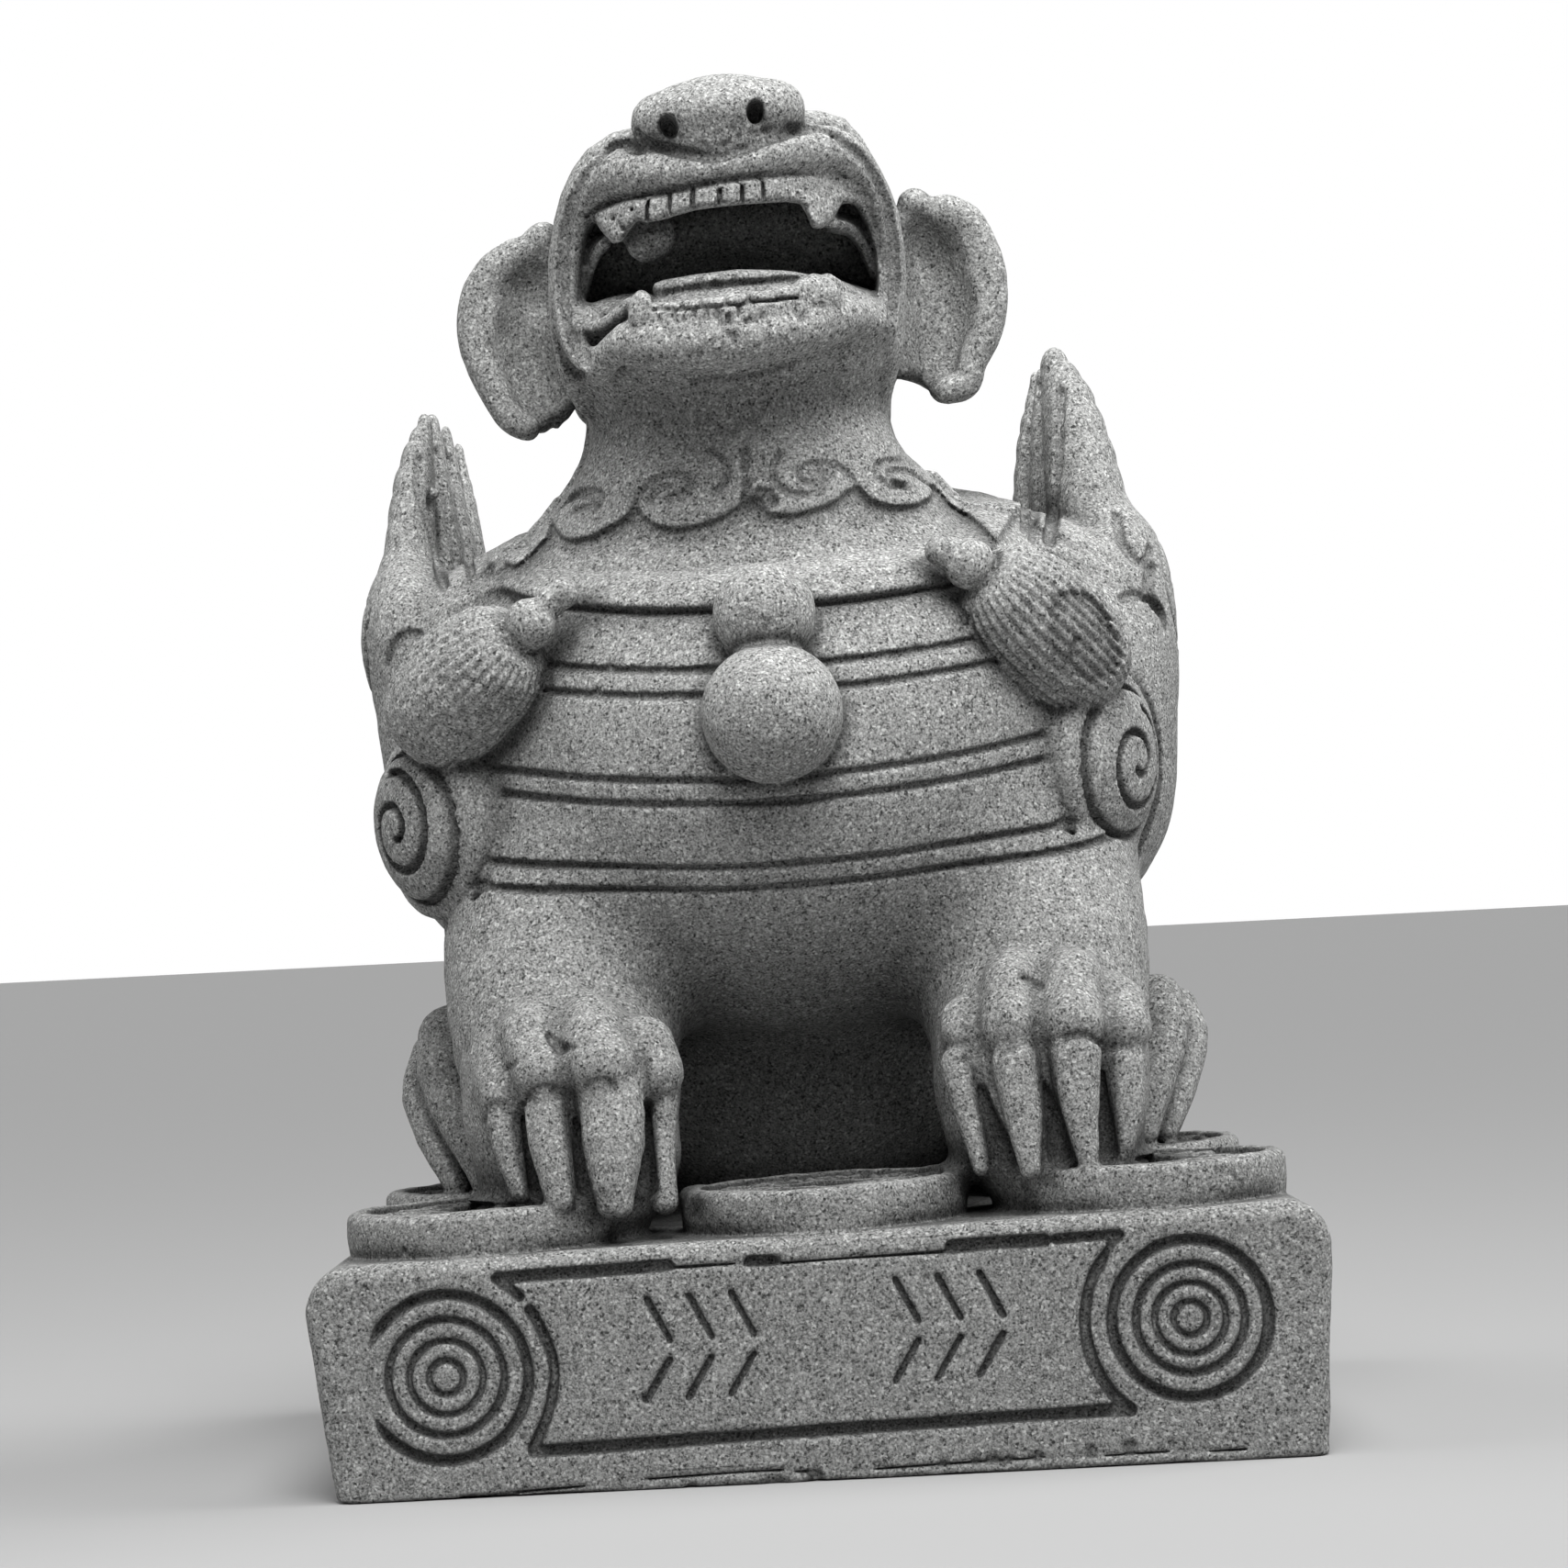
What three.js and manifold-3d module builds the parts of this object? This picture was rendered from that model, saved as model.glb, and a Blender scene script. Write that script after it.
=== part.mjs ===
// A seated pixiu, the winged guardian beast of East Asia, on its oblong plinth, moulded in one piece of
// grey stone powder and resin. Millimetres, +Z up, the beast looks along -Y, the origin is the middle
// of the flat underside.
import * as THREE from "three";
import { mergeVertices } from "three/addons/utils/BufferGeometryUtils.js";
import Module from "manifold-3d";

const wasm = await Module();
wasm.setup();
const { clamp, degToRad, lerp } = THREE.MathUtils;

// Driving dimensions of the plinth
const PLINTH_WIDTH = 66.4; // at its widest, near the top
const PLINTH_DEPTH = 62;
const PLINTH_HEIGHT = 15.8;
const PLINTH_DRAFT = 1.2; // how far each flank leans in towards the underside
const FLANK_ROUNDING = 3; // long top edges, left and right
const FRONT_ROUNDING = 1.3; // top and bottom edges, front and back

// Driving dimensions of the carving on the plinth's front
const GROOVE_WIDTH = 0.55;
const GROOVE_DEPTH = 0.6;
const PANEL_HALF_WIDTH = 19.6;
const PANEL_TOP = 14.1;
const PANEL_BOTTOM = 2.8;
const SCROLL_OFFSET = 24; // from the middle of the plinth to the middle of a scroll's end
const SCROLL_RADII = [2.3, 3.75, 5.3];
const SCROLL_PIT = 1.2;
const SCROLL_EDGE_RADIUS = 6.9;
const STROKE_LENGTH = 2.8;
const STROKE_PITCH = 3.1;
const STROKE_ROW_PITCH = 3.6;
const STROKE_SLANT = 0.3;
const STROKE_ROWS = 2;
const STROKES_IN_ROW = 3;
const STROKE_BLOCK_OFFSET = 8.2;

// Driving dimensions of the coins that lie on the plinth
const COIN_RADIUS = 9.5;
const COIN_THICKNESS = 2.9;
const COIN_RIM = 1.5;
const COIN_RECESS = 0.8;
const COIN_HOLE = 5.2; // side of the square hole
const COIN_SINK = 0.4; // how far a coin sits in the plinth
const COIN_SIDES = 16;

// The beast, from the top of the coins to the top of its nose. All its proportions are counted in
// 74ths of this height.
const FIGURE_HEIGHT = 74;
const MODULE = FIGURE_HEIGHT / 74;
const LEAN = degToRad(1.2); // the whole casting leans this much over its ground underside

const SHORTEST_EDGE = 0.36; // edges under this are merged away after the joins and cuts

const STONE = 0x7d7f80;

// A closed three.js geometry as a solid.
function solid(geometry) {
  const bare = geometry.index ? geometry.toNonIndexed() : geometry.clone();
  for (const name of Object.keys(bare.attributes))
    if (name !== "position") bare.deleteAttribute(name);
  const merged = mergeVertices(bare, 1e-4);
  const made = new wasm.Manifold(
    new wasm.Mesh({
      numProp: 3,
      vertProperties: new Float32Array(merged.attributes.position.array),
      triVerts: new Uint32Array(merged.index.array),
    }),
  );
  return made.volume() < 0 ? solid(reversed(merged)) : made;
}

// The same geometry with its faces turned round.
function reversed(geometry) {
  const index = geometry.index.array.slice();
  for (let i = 0; i < index.length; i += 3)
    [index[i + 1], index[i + 2]] = [index[i + 2], index[i + 1]];
  return geometry.clone().setIndex(new THREE.BufferAttribute(index, 1));
}

// A solid as a three.js geometry.
function geometryOf(body) {
  const mesh = body.getMesh();
  return new THREE.BufferGeometry()
    .setAttribute(
      "position",
      new THREE.BufferAttribute(new Float32Array(mesh.vertProperties), 3),
    )
    .setIndex(new THREE.BufferAttribute(new Uint32Array(mesh.triVerts), 1));
}

const join = (solids) => solids.reduce((all, next) => all.add(next));
const moved = (body, matrix) => solid(geometryOf(body).applyMatrix4(matrix));
// The largest closed skin of a body, which leaves no sealed hollow inside it.
const outerSkin = (body) =>
  body
    .decompose()
    .reduce((best, next) => (next.volume() > best.volume() ? next : best));
const mirrored = (body) => solid(geometryOf(body).scale(-1, 1, 1));
const bothSides = (body) => body.add(mirrored(body));
const vector = (point) => new THREE.Vector3(...point);

// Where two skins cross, a boolean leaves edges far shorter than any detail. This draws the two ends of
// each such edge together, wherever that keeps the skin closed and turns no facet over.
function withoutShortEdges(body, shortest) {
  const geometry = geometryOf(body);
  const corners = [];
  const place = geometry.attributes.position;
  for (let i = 0; i < place.count; i++)
    corners.push(new THREE.Vector3().fromBufferAttribute(place, i));
  const facets = [];
  const around = corners.map(() => new Set());
  const index = geometry.index.array;
  for (let i = 0; i < index.length; i += 3) {
    const facet = [index[i], index[i + 1], index[i + 2]];
    facets.push(facet);
    for (const corner of facet) around[corner].add(facets.length - 1);
  }
  const neighbours = (a) => {
    const found = new Set();
    for (const f of around[a]) for (const c of facets[f]) if (c !== a) found.add(c);
    return found;
  };
  const normal = (facet) => {
    const [a, b, c] = facet.map((i) => corners[i]);
    return b.clone().sub(a).cross(c.clone().sub(a));
  };
  // Whether corner a can be moved onto corner b
  const allowed = (a, b) => {
    const shared = [...neighbours(a)].filter((c) => neighbours(b).has(c));
    if (shared.length !== 2) return false;
    for (const f of around[a]) {
      if (facets[f].includes(b)) continue;
      const before = normal(facets[f]);
      const after = normal(facets[f].map((c) => (c === a ? b : c)));
      if (after.dot(before) < 0.5 * after.length() * before.length()) return false;
      if (after.length() < 1e-3) return false;
    }
    return true;
  };
  const merge = (a, b) => {
    for (const f of [...around[a]]) {
      const facet = facets[f];
      if (facet.includes(b)) {
        for (const c of facet) around[c].delete(f);
        facets[f] = null;
      } else {
        facet[facet.indexOf(a)] = b;
        around[b].add(f);
      }
    }
    around[a].clear();
  };
  const edges = [];
  for (const [a, b, c] of facets)
    for (const [from, to] of [[a, b], [b, c], [c, a]]) {
      const length = corners[from].distanceTo(corners[to]);
      if (from < to && length < shortest) edges.push({ from, to, length });
    }
  edges.sort((one, other) => one.length - other.length);
  for (const { from, to } of edges) {
    if (!neighbours(from).has(to)) continue;
    if (allowed(from, to)) merge(from, to);
    else if (allowed(to, from)) merge(to, from);
  }
  const left = facets.filter(Boolean).flat();
  return solid(new THREE.BufferGeometry().setAttribute("position", place).setIndex(left));
}

// Moves every vertex of a geometry by a function of its place.
function warp(geometry, move) {
  const place = geometry.attributes.position;
  const point = new THREE.Vector3();
  for (let i = 0; i < place.count; i++) {
    move(point.fromBufferAttribute(place, i));
    place.setXYZ(i, point.x, point.y, point.z);
  }
  return geometry;
}

// An ellipsoid, turned about Y by roll and then about X by tilt, in degrees.
function ellipsoid(middle, radii, { around, rows, tilt = 0, roll = 0 }) {
  return solid(
    new THREE.SphereGeometry(1, around, rows)
      .rotateX(Math.PI / 2)
      .scale(...radii)
      .rotateY(degToRad(roll))
      .rotateX(degToRad(tilt))
      .translate(...middle),
  );
}

// A round limb along a curve, with blunt points for ends. radius is a function from 0 to 1 along it, and
// flat squeezes its section across the side direction.
const CAP_BULGE = 0.45; // length of an end's point, in radii

function limb(points, radius, { sides, steps, flat = 1, side = [0, 0, 1] }) {
  const curve =
    points.length > 2
      ? new THREE.CatmullRomCurve3(points.map(vector))
      : new THREE.LineCurve3(...points.map(vector));
  const profile = [new THREE.Vector2(0, 0)];
  for (let i = 0; i <= steps; i++)
    profile.push(new THREE.Vector2(radius(i / steps), i / steps));
  profile.push(new THREE.Vector2(0, 1));
  const geometry = new THREE.LatheGeometry(profile, sides);
  const start = radius(0);
  const end = radius(1);
  return solid(
    warp(geometry, (p) => {
      const t = clamp(p.y, 0, 1);
      const onAxis = Math.hypot(p.x, p.z) < 1e-6;
      const cap = t < 0.5 ? -CAP_BULGE * start : CAP_BULGE * end;
      const along = curve.getTangentAt(t);
      const across = vector(side)
        .addScaledVector(along, -vector(side).dot(along))
        .normalize();
      const third = new THREE.Vector3().crossVectors(along, across);
      const [u, v] = [p.x, p.z * flat];
      p.copy(curve.getPointAt(t))
        .addScaledVector(across, u)
        .addScaledVector(third, v)
        .addScaledVector(along, onAxis ? cap : 0);
    }),
  );
}

// A thin three-sided cutter along a line of surface points.
const groove = (points, width, steps) => limb(points, () => width, { sides: 3, steps });

// The plinth
function plinthOutline() {
  const half = PLINTH_WIDTH / 2;
  const foot = half - PLINTH_DRAFT;
  const shape = new THREE.Shape();
  shape.moveTo(-foot + FRONT_ROUNDING, -2 * FRONT_ROUNDING);
  shape.lineTo(foot - FRONT_ROUNDING, -2 * FRONT_ROUNDING);
  shape.lineTo(foot, 0);
  shape.lineTo(half, PLINTH_HEIGHT - FLANK_ROUNDING);
  shape.quadraticCurveTo(
    half,
    PLINTH_HEIGHT,
    half - FLANK_ROUNDING,
    PLINTH_HEIGHT,
  );
  shape.lineTo(-half + FLANK_ROUNDING, PLINTH_HEIGHT);
  shape.quadraticCurveTo(
    -half,
    PLINTH_HEIGHT,
    -half,
    PLINTH_HEIGHT - FLANK_ROUNDING,
  );
  shape.lineTo(-foot, 0);
  return shape;
}

function plinthBlock() {
  const geometry = new THREE.ExtrudeGeometry(plinthOutline(), {
    depth: PLINTH_DEPTH - 2 * FRONT_ROUNDING,
    bevelThickness: FRONT_ROUNDING,
    bevelSize: FRONT_ROUNDING,
    bevelOffset: -FRONT_ROUNDING,
    bevelSegments: 2,
    curveSegments: 3,
  });
  return solid(
    geometry
      .rotateX(Math.PI / 2)
      .translate(0, PLINTH_DEPTH / 2 - FRONT_ROUNDING, 0),
  );
}

// A shape in the plinth's front face, x to the right and y up, as a cutter.
function frontCutter(shape, curveSegments = 8) {
  const geometry = new THREE.ExtrudeGeometry(shape, {
    depth: 2 * GROOVE_DEPTH,
    bevelEnabled: false,
    curveSegments,
  });
  return solid(
    geometry
      .rotateX(Math.PI / 2)
      .translate(0, -PLINTH_DEPTH / 2 + GROOVE_DEPTH, 0),
  );
}

function bar(x0, z0, x1, z1, width) {
  const along = new THREE.Vector2(x1 - x0, z1 - z0).normalize();
  const across = new THREE.Vector2(-along.y, along.x).multiplyScalar(width / 2);
  return frontCutter(
    new THREE.Shape([
      new THREE.Vector2(x0 - across.x, z0 - across.y),
      new THREE.Vector2(x1 - across.x, z1 - across.y),
      new THREE.Vector2(x1 + across.x, z1 + across.y),
      new THREE.Vector2(x0 + across.x, z0 + across.y),
    ]),
  );
}

function arcBand(x, z, radius, from, to, segments) {
  const shape = new THREE.Shape();
  shape.absarc(x, z, radius + GROOVE_WIDTH / 2, from, to, false);
  shape.absarc(x, z, radius - GROOVE_WIDTH / 2, to, from, true);
  return frontCutter(shape, segments);
}

function ring(x, z, radius) {
  const shape = new THREE.Shape();
  shape.absarc(x, z, radius + GROOVE_WIDTH / 2, 0, 2 * Math.PI, false);
  const hole = new THREE.Path();
  hole.absarc(x, z, radius - GROOVE_WIDTH / 2, 0, 2 * Math.PI, true);
  shape.holes.push(hole);
  return frontCutter(shape, 4 + Math.round(radius / 2));
}

function pit(x, z, radius) {
  const shape = new THREE.Shape();
  shape.absarc(x, z, radius, 0, 2 * Math.PI, false);
  return frontCutter(shape, 4);
}

// Rows of short slanting strokes that stand where the real one has an inscription.
function strokeBlock(x) {
  const strokes = [];
  const middle = (PANEL_TOP + PANEL_BOTTOM) / 2;
  for (let row = 0; row < STROKE_ROWS; row++)
    for (let k = 0; k < STROKES_IN_ROW; k++) {
      const cx = x + (k - (STROKES_IN_ROW - 1) / 2) * STROKE_PITCH;
      const cz = middle + (row - (STROKE_ROWS - 1) / 2) * STROKE_ROW_PITCH;
      const slant = (row % 2 ? -1 : 1) * STROKE_SLANT * STROKE_LENGTH;
      const half = STROKE_LENGTH / 2;
      strokes.push(
        bar(cx - slant, cz - half, cx + slant, cz + half, GROOVE_WIDTH),
      );
    }
  return strokes;
}

function frontCarving() {
  const middle = (PANEL_TOP + PANEL_BOTTOM) / 2;
  const cutters = [];
  for (const z of [PANEL_TOP, PANEL_BOTTOM])
    cutters.push(bar(-PANEL_HALF_WIDTH, z, PANEL_HALF_WIDTH, z, GROOVE_WIDTH));
  for (const side of [-1, 1]) {
    const x = side * SCROLL_OFFSET;
    for (const radius of SCROLL_RADII) cutters.push(ring(x, middle, radius));
    cutters.push(pit(x, middle, SCROLL_PIT));
    const inward = side < 0 ? 0 : Math.PI;
    cutters.push(
      arcBand(x, middle, SCROLL_EDGE_RADIUS, inward - 0.9, inward + 0.9, 4),
    );
    cutters.push(...strokeBlock(side * STROKE_BLOCK_OFFSET));
  }
  return join(cutters);
}

// The coins, with a raised rim round a sunk field and a square hole. Places are in shares of the way from
// the plinth's middle to where a coin would touch its side, and then its front or back.
const COIN_PLACES = [
  [-0.91, -0.95],
  [0.93, -0.95],
  [0.03, -0.96],
  [-0.88, 0.08],
  [0.89, 0.08],
  [0, 0.95],
];

function coin([across, along]) {
  const x = across * (PLINTH_WIDTH / 2 - COIN_RADIUS);
  const y = along * (PLINTH_DEPTH / 2 - COIN_RADIUS);
  const top = COIN_THICKNESS;
  const field = COIN_RADIUS - COIN_RIM;
  const profile = [
    [0, -COIN_SINK],
    [COIN_RADIUS, -COIN_SINK],
    [COIN_RADIUS, top],
    [field, top],
    [field, top - COIN_RECESS],
    [0, top - COIN_RECESS],
  ].map((p) => new THREE.Vector2(...p));
  const disc = solid(
    new THREE.LatheGeometry(profile, COIN_SIDES).rotateX(Math.PI / 2),
  );
  const hole = solid(
    new THREE.BoxGeometry(COIN_HOLE, COIN_HOLE, COIN_RECESS)
      .rotateZ(Math.PI / 4)
      .translate(0, 0, top - COIN_RECESS),
  );
  return moved(
    disc.subtract(hole),
    new THREE.Matrix4().makeTranslation(x, y, PLINTH_HEIGHT),
  );
}

// From here on every place and size is in modules, and z is 0 at the top of the coins.

// The barrel of the body, whose bands lie square to an axis that leans forward
const TORSO_MIDDLE = [0, -1, 28.3];
const TORSO_TILT = degToRad(14);
const TORSO_RADIUS = 24.2;
const TORSO_UPPER = 21;
const TORSO_LOWER = 23;
const TORSO_WAIST = 1.5;
const TORSO_SIDES = 22;
const BAND_AT = [-2.3, 3.6, 10.5];
const BAND_WIDTH = 1.5;
const BAND_CUT = 0.32;
const BAND_DEPTH = 0.55;
const NECKLINE_AT = 16.3;
const NECKLINE_HEIGHT = 0.8;

function torsoRadius(s) {
  const reach = s > TORSO_WAIST ? TORSO_UPPER : TORSO_LOWER;
  const share = Math.min(1, Math.abs(s - TORSO_WAIST) / reach);
  return TORSO_RADIUS * Math.sqrt(1 - share ** 2.2);
}

function torsoProfile() {
  const points = [[0, TORSO_WAIST - TORSO_LOWER]];
  const skin = (s, proud = 0) => points.push([torsoRadius(s) + proud, s]);
  for (const share of [0.94, 0.76, 0.5])
    skin(TORSO_WAIST - TORSO_LOWER * share);
  for (const s of BAND_AT) {
    const half = BAND_WIDTH / 2;
    skin(s - half - BAND_CUT);
    skin(s - half, -BAND_DEPTH);
    skin(s);
    skin(s + half, -BAND_DEPTH);
    skin(s + half + BAND_CUT);
  }
  skin(NECKLINE_AT - 2);
  skin(NECKLINE_AT - 1.3, -BAND_DEPTH);
  skin(NECKLINE_AT - 1, NECKLINE_HEIGHT * 0.6);
  skin(NECKLINE_AT, NECKLINE_HEIGHT);
  skin(NECKLINE_AT + 1.2);
  points.push([0, NECKLINE_AT + 1.5]);
  return points.map((p) => new THREE.Vector2(...p));
}

function torso() {
  return solid(
    new THREE.LatheGeometry(torsoProfile(), TORSO_SIDES)
      .rotateX(Math.PI / 2)
      .rotateX(TORSO_TILT)
      .translate(...TORSO_MIDDLE),
  );
}

// The hindquarters, under and behind the barrel
const RUMP = { middle: [0, 8.4, 14], radii: [18.5, 15.6, 20.5] };

// The neck, an oval tower that flares into the shoulders
const NECK_X = -1.2;
const NECK_Y = -4.6;
const NECK_SIDES = 16;
const NECK_LEVELS = [
  { z: 34, wide: 19.4, deep: 16.2 },
  { z: 41.5, wide: 18.2, deep: 15.4 },
  { z: 45.5, wide: 15.3, deep: 13 },
  { z: 50, wide: 11.4, deep: 10.5 },
  { z: 60, wide: 10.6, deep: 10 },
];
const COLLAR_PROUD = 0.9;

function neckAt(z) {
  const found = NECK_LEVELS.findIndex((level) => level.z > z);
  const above = found < 0 ? NECK_LEVELS.length - 1 : Math.max(1, found);
  const high = NECK_LEVELS[above];
  const low = NECK_LEVELS[above - 1];
  const t = (z - low.z) / (high.z - low.z);
  return { wide: lerp(low.wide, high.wide, t), deep: lerp(low.deep, high.deep, t) };
}

function neckSkin(proud) {
  const profile = [
    new THREE.Vector2(0, NECK_LEVELS[0].z),
    ...NECK_LEVELS.map((level) => new THREE.Vector2(1, level.z)),
    new THREE.Vector2(0, NECK_LEVELS.at(-1).z),
  ];
  const tower = new THREE.LatheGeometry(profile, NECK_SIDES).rotateX(Math.PI / 2);
  return warp(tower, (p) => {
    const { wide, deep } = neckAt(p.z);
    p.x = NECK_X + p.x * (wide + proud);
    p.y = NECK_Y + p.y * (deep + proud);
  });
}

// The point of the neck's front at x and z
function onNeck(x, z, proud) {
  const { wide, deep } = neckAt(z);
  const share = Math.min(0.98, Math.abs(x - NECK_X) / (wide + proud));
  return [x, NECK_Y - (deep + proud) * Math.sqrt(1 - share * share), z];
}

// The collar of curled locks: a raised layer on the neck with a scalloped lower edge
const COLLAR_CURLS = [
  { x: 4.8, z: 47, radius: 2.6 },
  { x: 10.4, z: 46.1, radius: 2 },
];
const COLLAR_TOP = 51;
const COLLAR_BACK = 6;
// One side of the lower edge, from the middle outwards
const COLLAR_EDGE = [
  [0, 45],
  [2.6, 43.7],
  [5.4, 43.9],
  [7.2, 45.4],
  [10.4, 43.6],
  [13.2, 45],
  [19, 42.8],
];

function collarShape() {
  const right = COLLAR_EDGE.map(([x, z]) => new THREE.Vector2(NECK_X + x, z));
  const left = COLLAR_EDGE.slice(1).map(([x, z]) => new THREE.Vector2(NECK_X - x, z));
  const side = COLLAR_EDGE.at(-1)[0];
  return new THREE.Shape([
    ...left.reverse(),
    ...right,
    new THREE.Vector2(NECK_X + side, COLLAR_TOP),
    new THREE.Vector2(NECK_X - side, COLLAR_TOP),
  ]);
}

// Points of a spiral that runs inwards from radius. place puts a point of its plane on a surface.
function spiral([u, v], { start, turns, radius, steps }, place) {
  const points = [];
  for (let i = 0; i <= steps; i++) {
    const t = i / steps;
    const angle = start + turns * 2 * Math.PI * t;
    const r = radius * (1 - 0.8 * t);
    points.push(place(u + r * Math.cos(angle), v + r * Math.sin(angle)));
  }
  return points;
}

function neckAndCollar() {
  const block = new THREE.ExtrudeGeometry(collarShape(), { depth: 40, bevelEnabled: false });
  const front = solid(block.rotateX(Math.PI / 2).translate(0, COLLAR_BACK, 0));
  const grooves = [];
  for (const { x, z, radius } of COLLAR_CURLS)
    for (const side of [-1, 1]) {
      const run = {
        start: side > 0 ? Math.PI * 0.25 : Math.PI * 0.75,
        turns: -side * 1.1,
        radius,
        steps: 6,
      };
      const line = spiral([NECK_X + side * x, z], run, (px, pz) =>
        onNeck(px, pz, COLLAR_PROUD),
      );
      grooves.push(groove(line, 0.75, 6));
    }
  const layer = solid(neckSkin(COLLAR_PROUD)).intersect(front);
  return solid(neckSkin(0)).add(layer).subtract(join(grooves));
}

// The bell on its knot, at the middle of the chest
const BELL = [
  { at: [-0.4, -24.6, 37.4], radius: 3.3, around: 10, rows: 6 },
  { at: [-0.2, -26.8, 31.2], radius: 4.7, around: 12, rows: 8 },
];

function bell() {
  return join(
    BELL.map(({ at, radius, around, rows }) =>
      ellipsoid(at, [radius, radius, radius], { around, rows }),
    ),
  );
}

// The two fluted tassels that hang from the neckline, each with two knots at its top
const TASSEL_FLUTES = 7;
const TASSEL_RADIUS = 4.9;
const TASSELS = [
  {
    knots: [
      { at: [-13.7, -19.4, 40.3], radius: 1.5 },
      { at: [-15.8, -19.6, 38.8], radius: 2.1 },
    ],
    from: [-15.7, -19.8, 38.8],
    to: [-25.8, -15, 31],
  },
  {
    knots: [
      { at: [12.8, -19.6, 41.2], radius: 1.5 },
      { at: [14.2, -19.8, 40], radius: 2 },
    ],
    from: [13.8, -20, 40.2],
    to: [23.8, -14.6, 32.6],
  },
];

function tassel({ knots, from, to }) {
  const axis = vector(to).sub(vector(from));
  const length = axis.length();
  const profile = [0, 0.1, 0.34, 0.64, 0.9, 1].map((t) => {
    const share = Math.sin(Math.PI * t ** 0.85);
    return new THREE.Vector2(TASSEL_RADIUS * Math.sqrt(Math.max(0, share)), t * length);
  });
  profile[0].x = 0;
  profile.at(-1).x = 0;
  const fluted = warp(new THREE.LatheGeometry(profile, 2 * TASSEL_FLUTES), (p) => {
    const step = Math.round(Math.atan2(p.z, p.x) / (Math.PI / TASSEL_FLUTES));
    const share = step % 2 ? 0.91 : 1;
    p.x *= share;
    p.z *= share;
  });
  const up = new THREE.Vector3(0, 1, 0);
  const turn = new THREE.Quaternion().setFromUnitVectors(up, axis.normalize());
  const body = solid(fluted.applyQuaternion(turn).translate(...from));
  const beads = knots.map(({ at, radius }) =>
    ellipsoid(at, [radius, radius, radius], { around: 6, rows: 4 }),
  );
  return join([body, ...beads]);
}

// Shoulder, legs, paws and wing of the side at +X. The other side is its mirror image.
const SHOULDER = { middle: [20.2, -1.2, 33], radii: [8.2, 9, 10.8] };
// A round plate on each upper leg, facing out and forward: a raised rim and a curl cut in its field
const PLATE = { radius: 6.4, thickness: 3.6, rim: 1.2, dish: 0.7 };
const PLATE_SIDES = 12;
const PLATE_TURN = degToRad(-38);
const PLATE_TIP = degToRad(6);
const PLATE_CURL = { start: Math.PI * 0.5, turns: 1.4, radius: 3.9, steps: 8 };
const PLATES = [
  { side: -1, middle: [24.7, -10, 26.4] },
  { side: 1, middle: [23.9, -10, 27.8] },
];

function plate({ side, middle }) {
  const { radius, thickness, rim, dish } = PLATE;
  const profile = [
    [0, -2 * thickness],
    [radius * 0.9, -2 * thickness],
    [radius, -0.5],
    [radius - 0.4, 0],
    [radius - rim, 0],
    [radius - rim - 0.3, -dish],
    [0, 0.2],
  ].map((p) => new THREE.Vector2(...p));
  const disc = solid(new THREE.LatheGeometry(profile, PLATE_SIDES).rotateZ(-Math.PI / 2));
  const line = spiral([0, 0], PLATE_CURL, (y, z) => [0, y, z]);
  const place = new THREE.Matrix4()
    .makeTranslation(...middle)
    .multiply(new THREE.Matrix4().makeRotationZ(PLATE_TURN))
    .multiply(new THREE.Matrix4().makeRotationY(PLATE_TIP));
  const carved = moved(disc.subtract(groove(line, 0.6, 8)), place);
  return side < 0 ? mirrored(carved) : carved;
}

const FORELEG = [
  [15, -8, 23],
  [15.9, -14, 13.5],
  [15.8, -18.6, 6],
];
const PALM = { middle: [15.7, -20, 4.4], radii: [7.4, 6.6, 6] };

function foreleg() {
  const leg = limb(FORELEG, (t) => lerp(8.4, 7.4, t), { sides: 10, steps: 2 });
  return leg.add(ellipsoid(PALM.middle, PALM.radii, { around: 9, rows: 6 }));
}

// A toe is a knuckle and a long tapering claw that reaches down to tip.
const FORE_TOES = [
  { knuckle: [10.4, -22.2, 6.4], radius: 2.2, tip: [11.2, -26.2, 0.1] },
  { knuckle: [13.7, -25, 7.8], radius: 2.7, tip: [14.4, -28.6, 0] },
  { knuckle: [17.7, -25, 8.2], radius: 2.8, tip: [18, -28.4, 0] },
  { knuckle: [21.1, -22.2, 7.2], radius: 2.4, tip: [20.8, -25.6, 0.1] },
];
const HIND_TOES = [
  { knuckle: [22, -2.6, 5.2], radius: 2.4, tip: [21, -7, 0] },
  { knuckle: [25.6, -0.6, 5.2], radius: 2.5, tip: [24.6, -5.4, 0] },
];

// Half widths along a toe: the joint bulges, then the claw tapers
const TOE_PROFILE = [0.5, 1.05, 0.85, 0.55, 0.22];

function toe({ knuckle, radius, tip }) {
  const [x, y, z] = knuckle;
  const back = [x, y + radius * 0.7, z + radius * 0.9];
  const front = [x, y - radius * 0.7, z - radius * 0.1];
  const steps = TOE_PROFILE.length - 1;
  return limb([back, front, tip], (t) => radius * TOE_PROFILE[Math.round(t * steps)], {
    sides: 5,
    steps,
  });
}

const HAUNCH = { middle: [16.4, 10.5, 12.6], radii: [9, 13, 13.8] };
const HIND_FOOT = [
  [19, 14, 3],
  [21.6, 7, 4.6],
  [23.6, 1, 4.8],
];

function hindleg() {
  const haunch = ellipsoid(HAUNCH.middle, HAUNCH.radii, { around: 10, rows: 7 });
  const foot = limb(HIND_FOOT, () => 4.6, { sides: 6, steps: 2 });
  return join([haunch, foot, ...HIND_TOES.map(toe)]);
}

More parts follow.
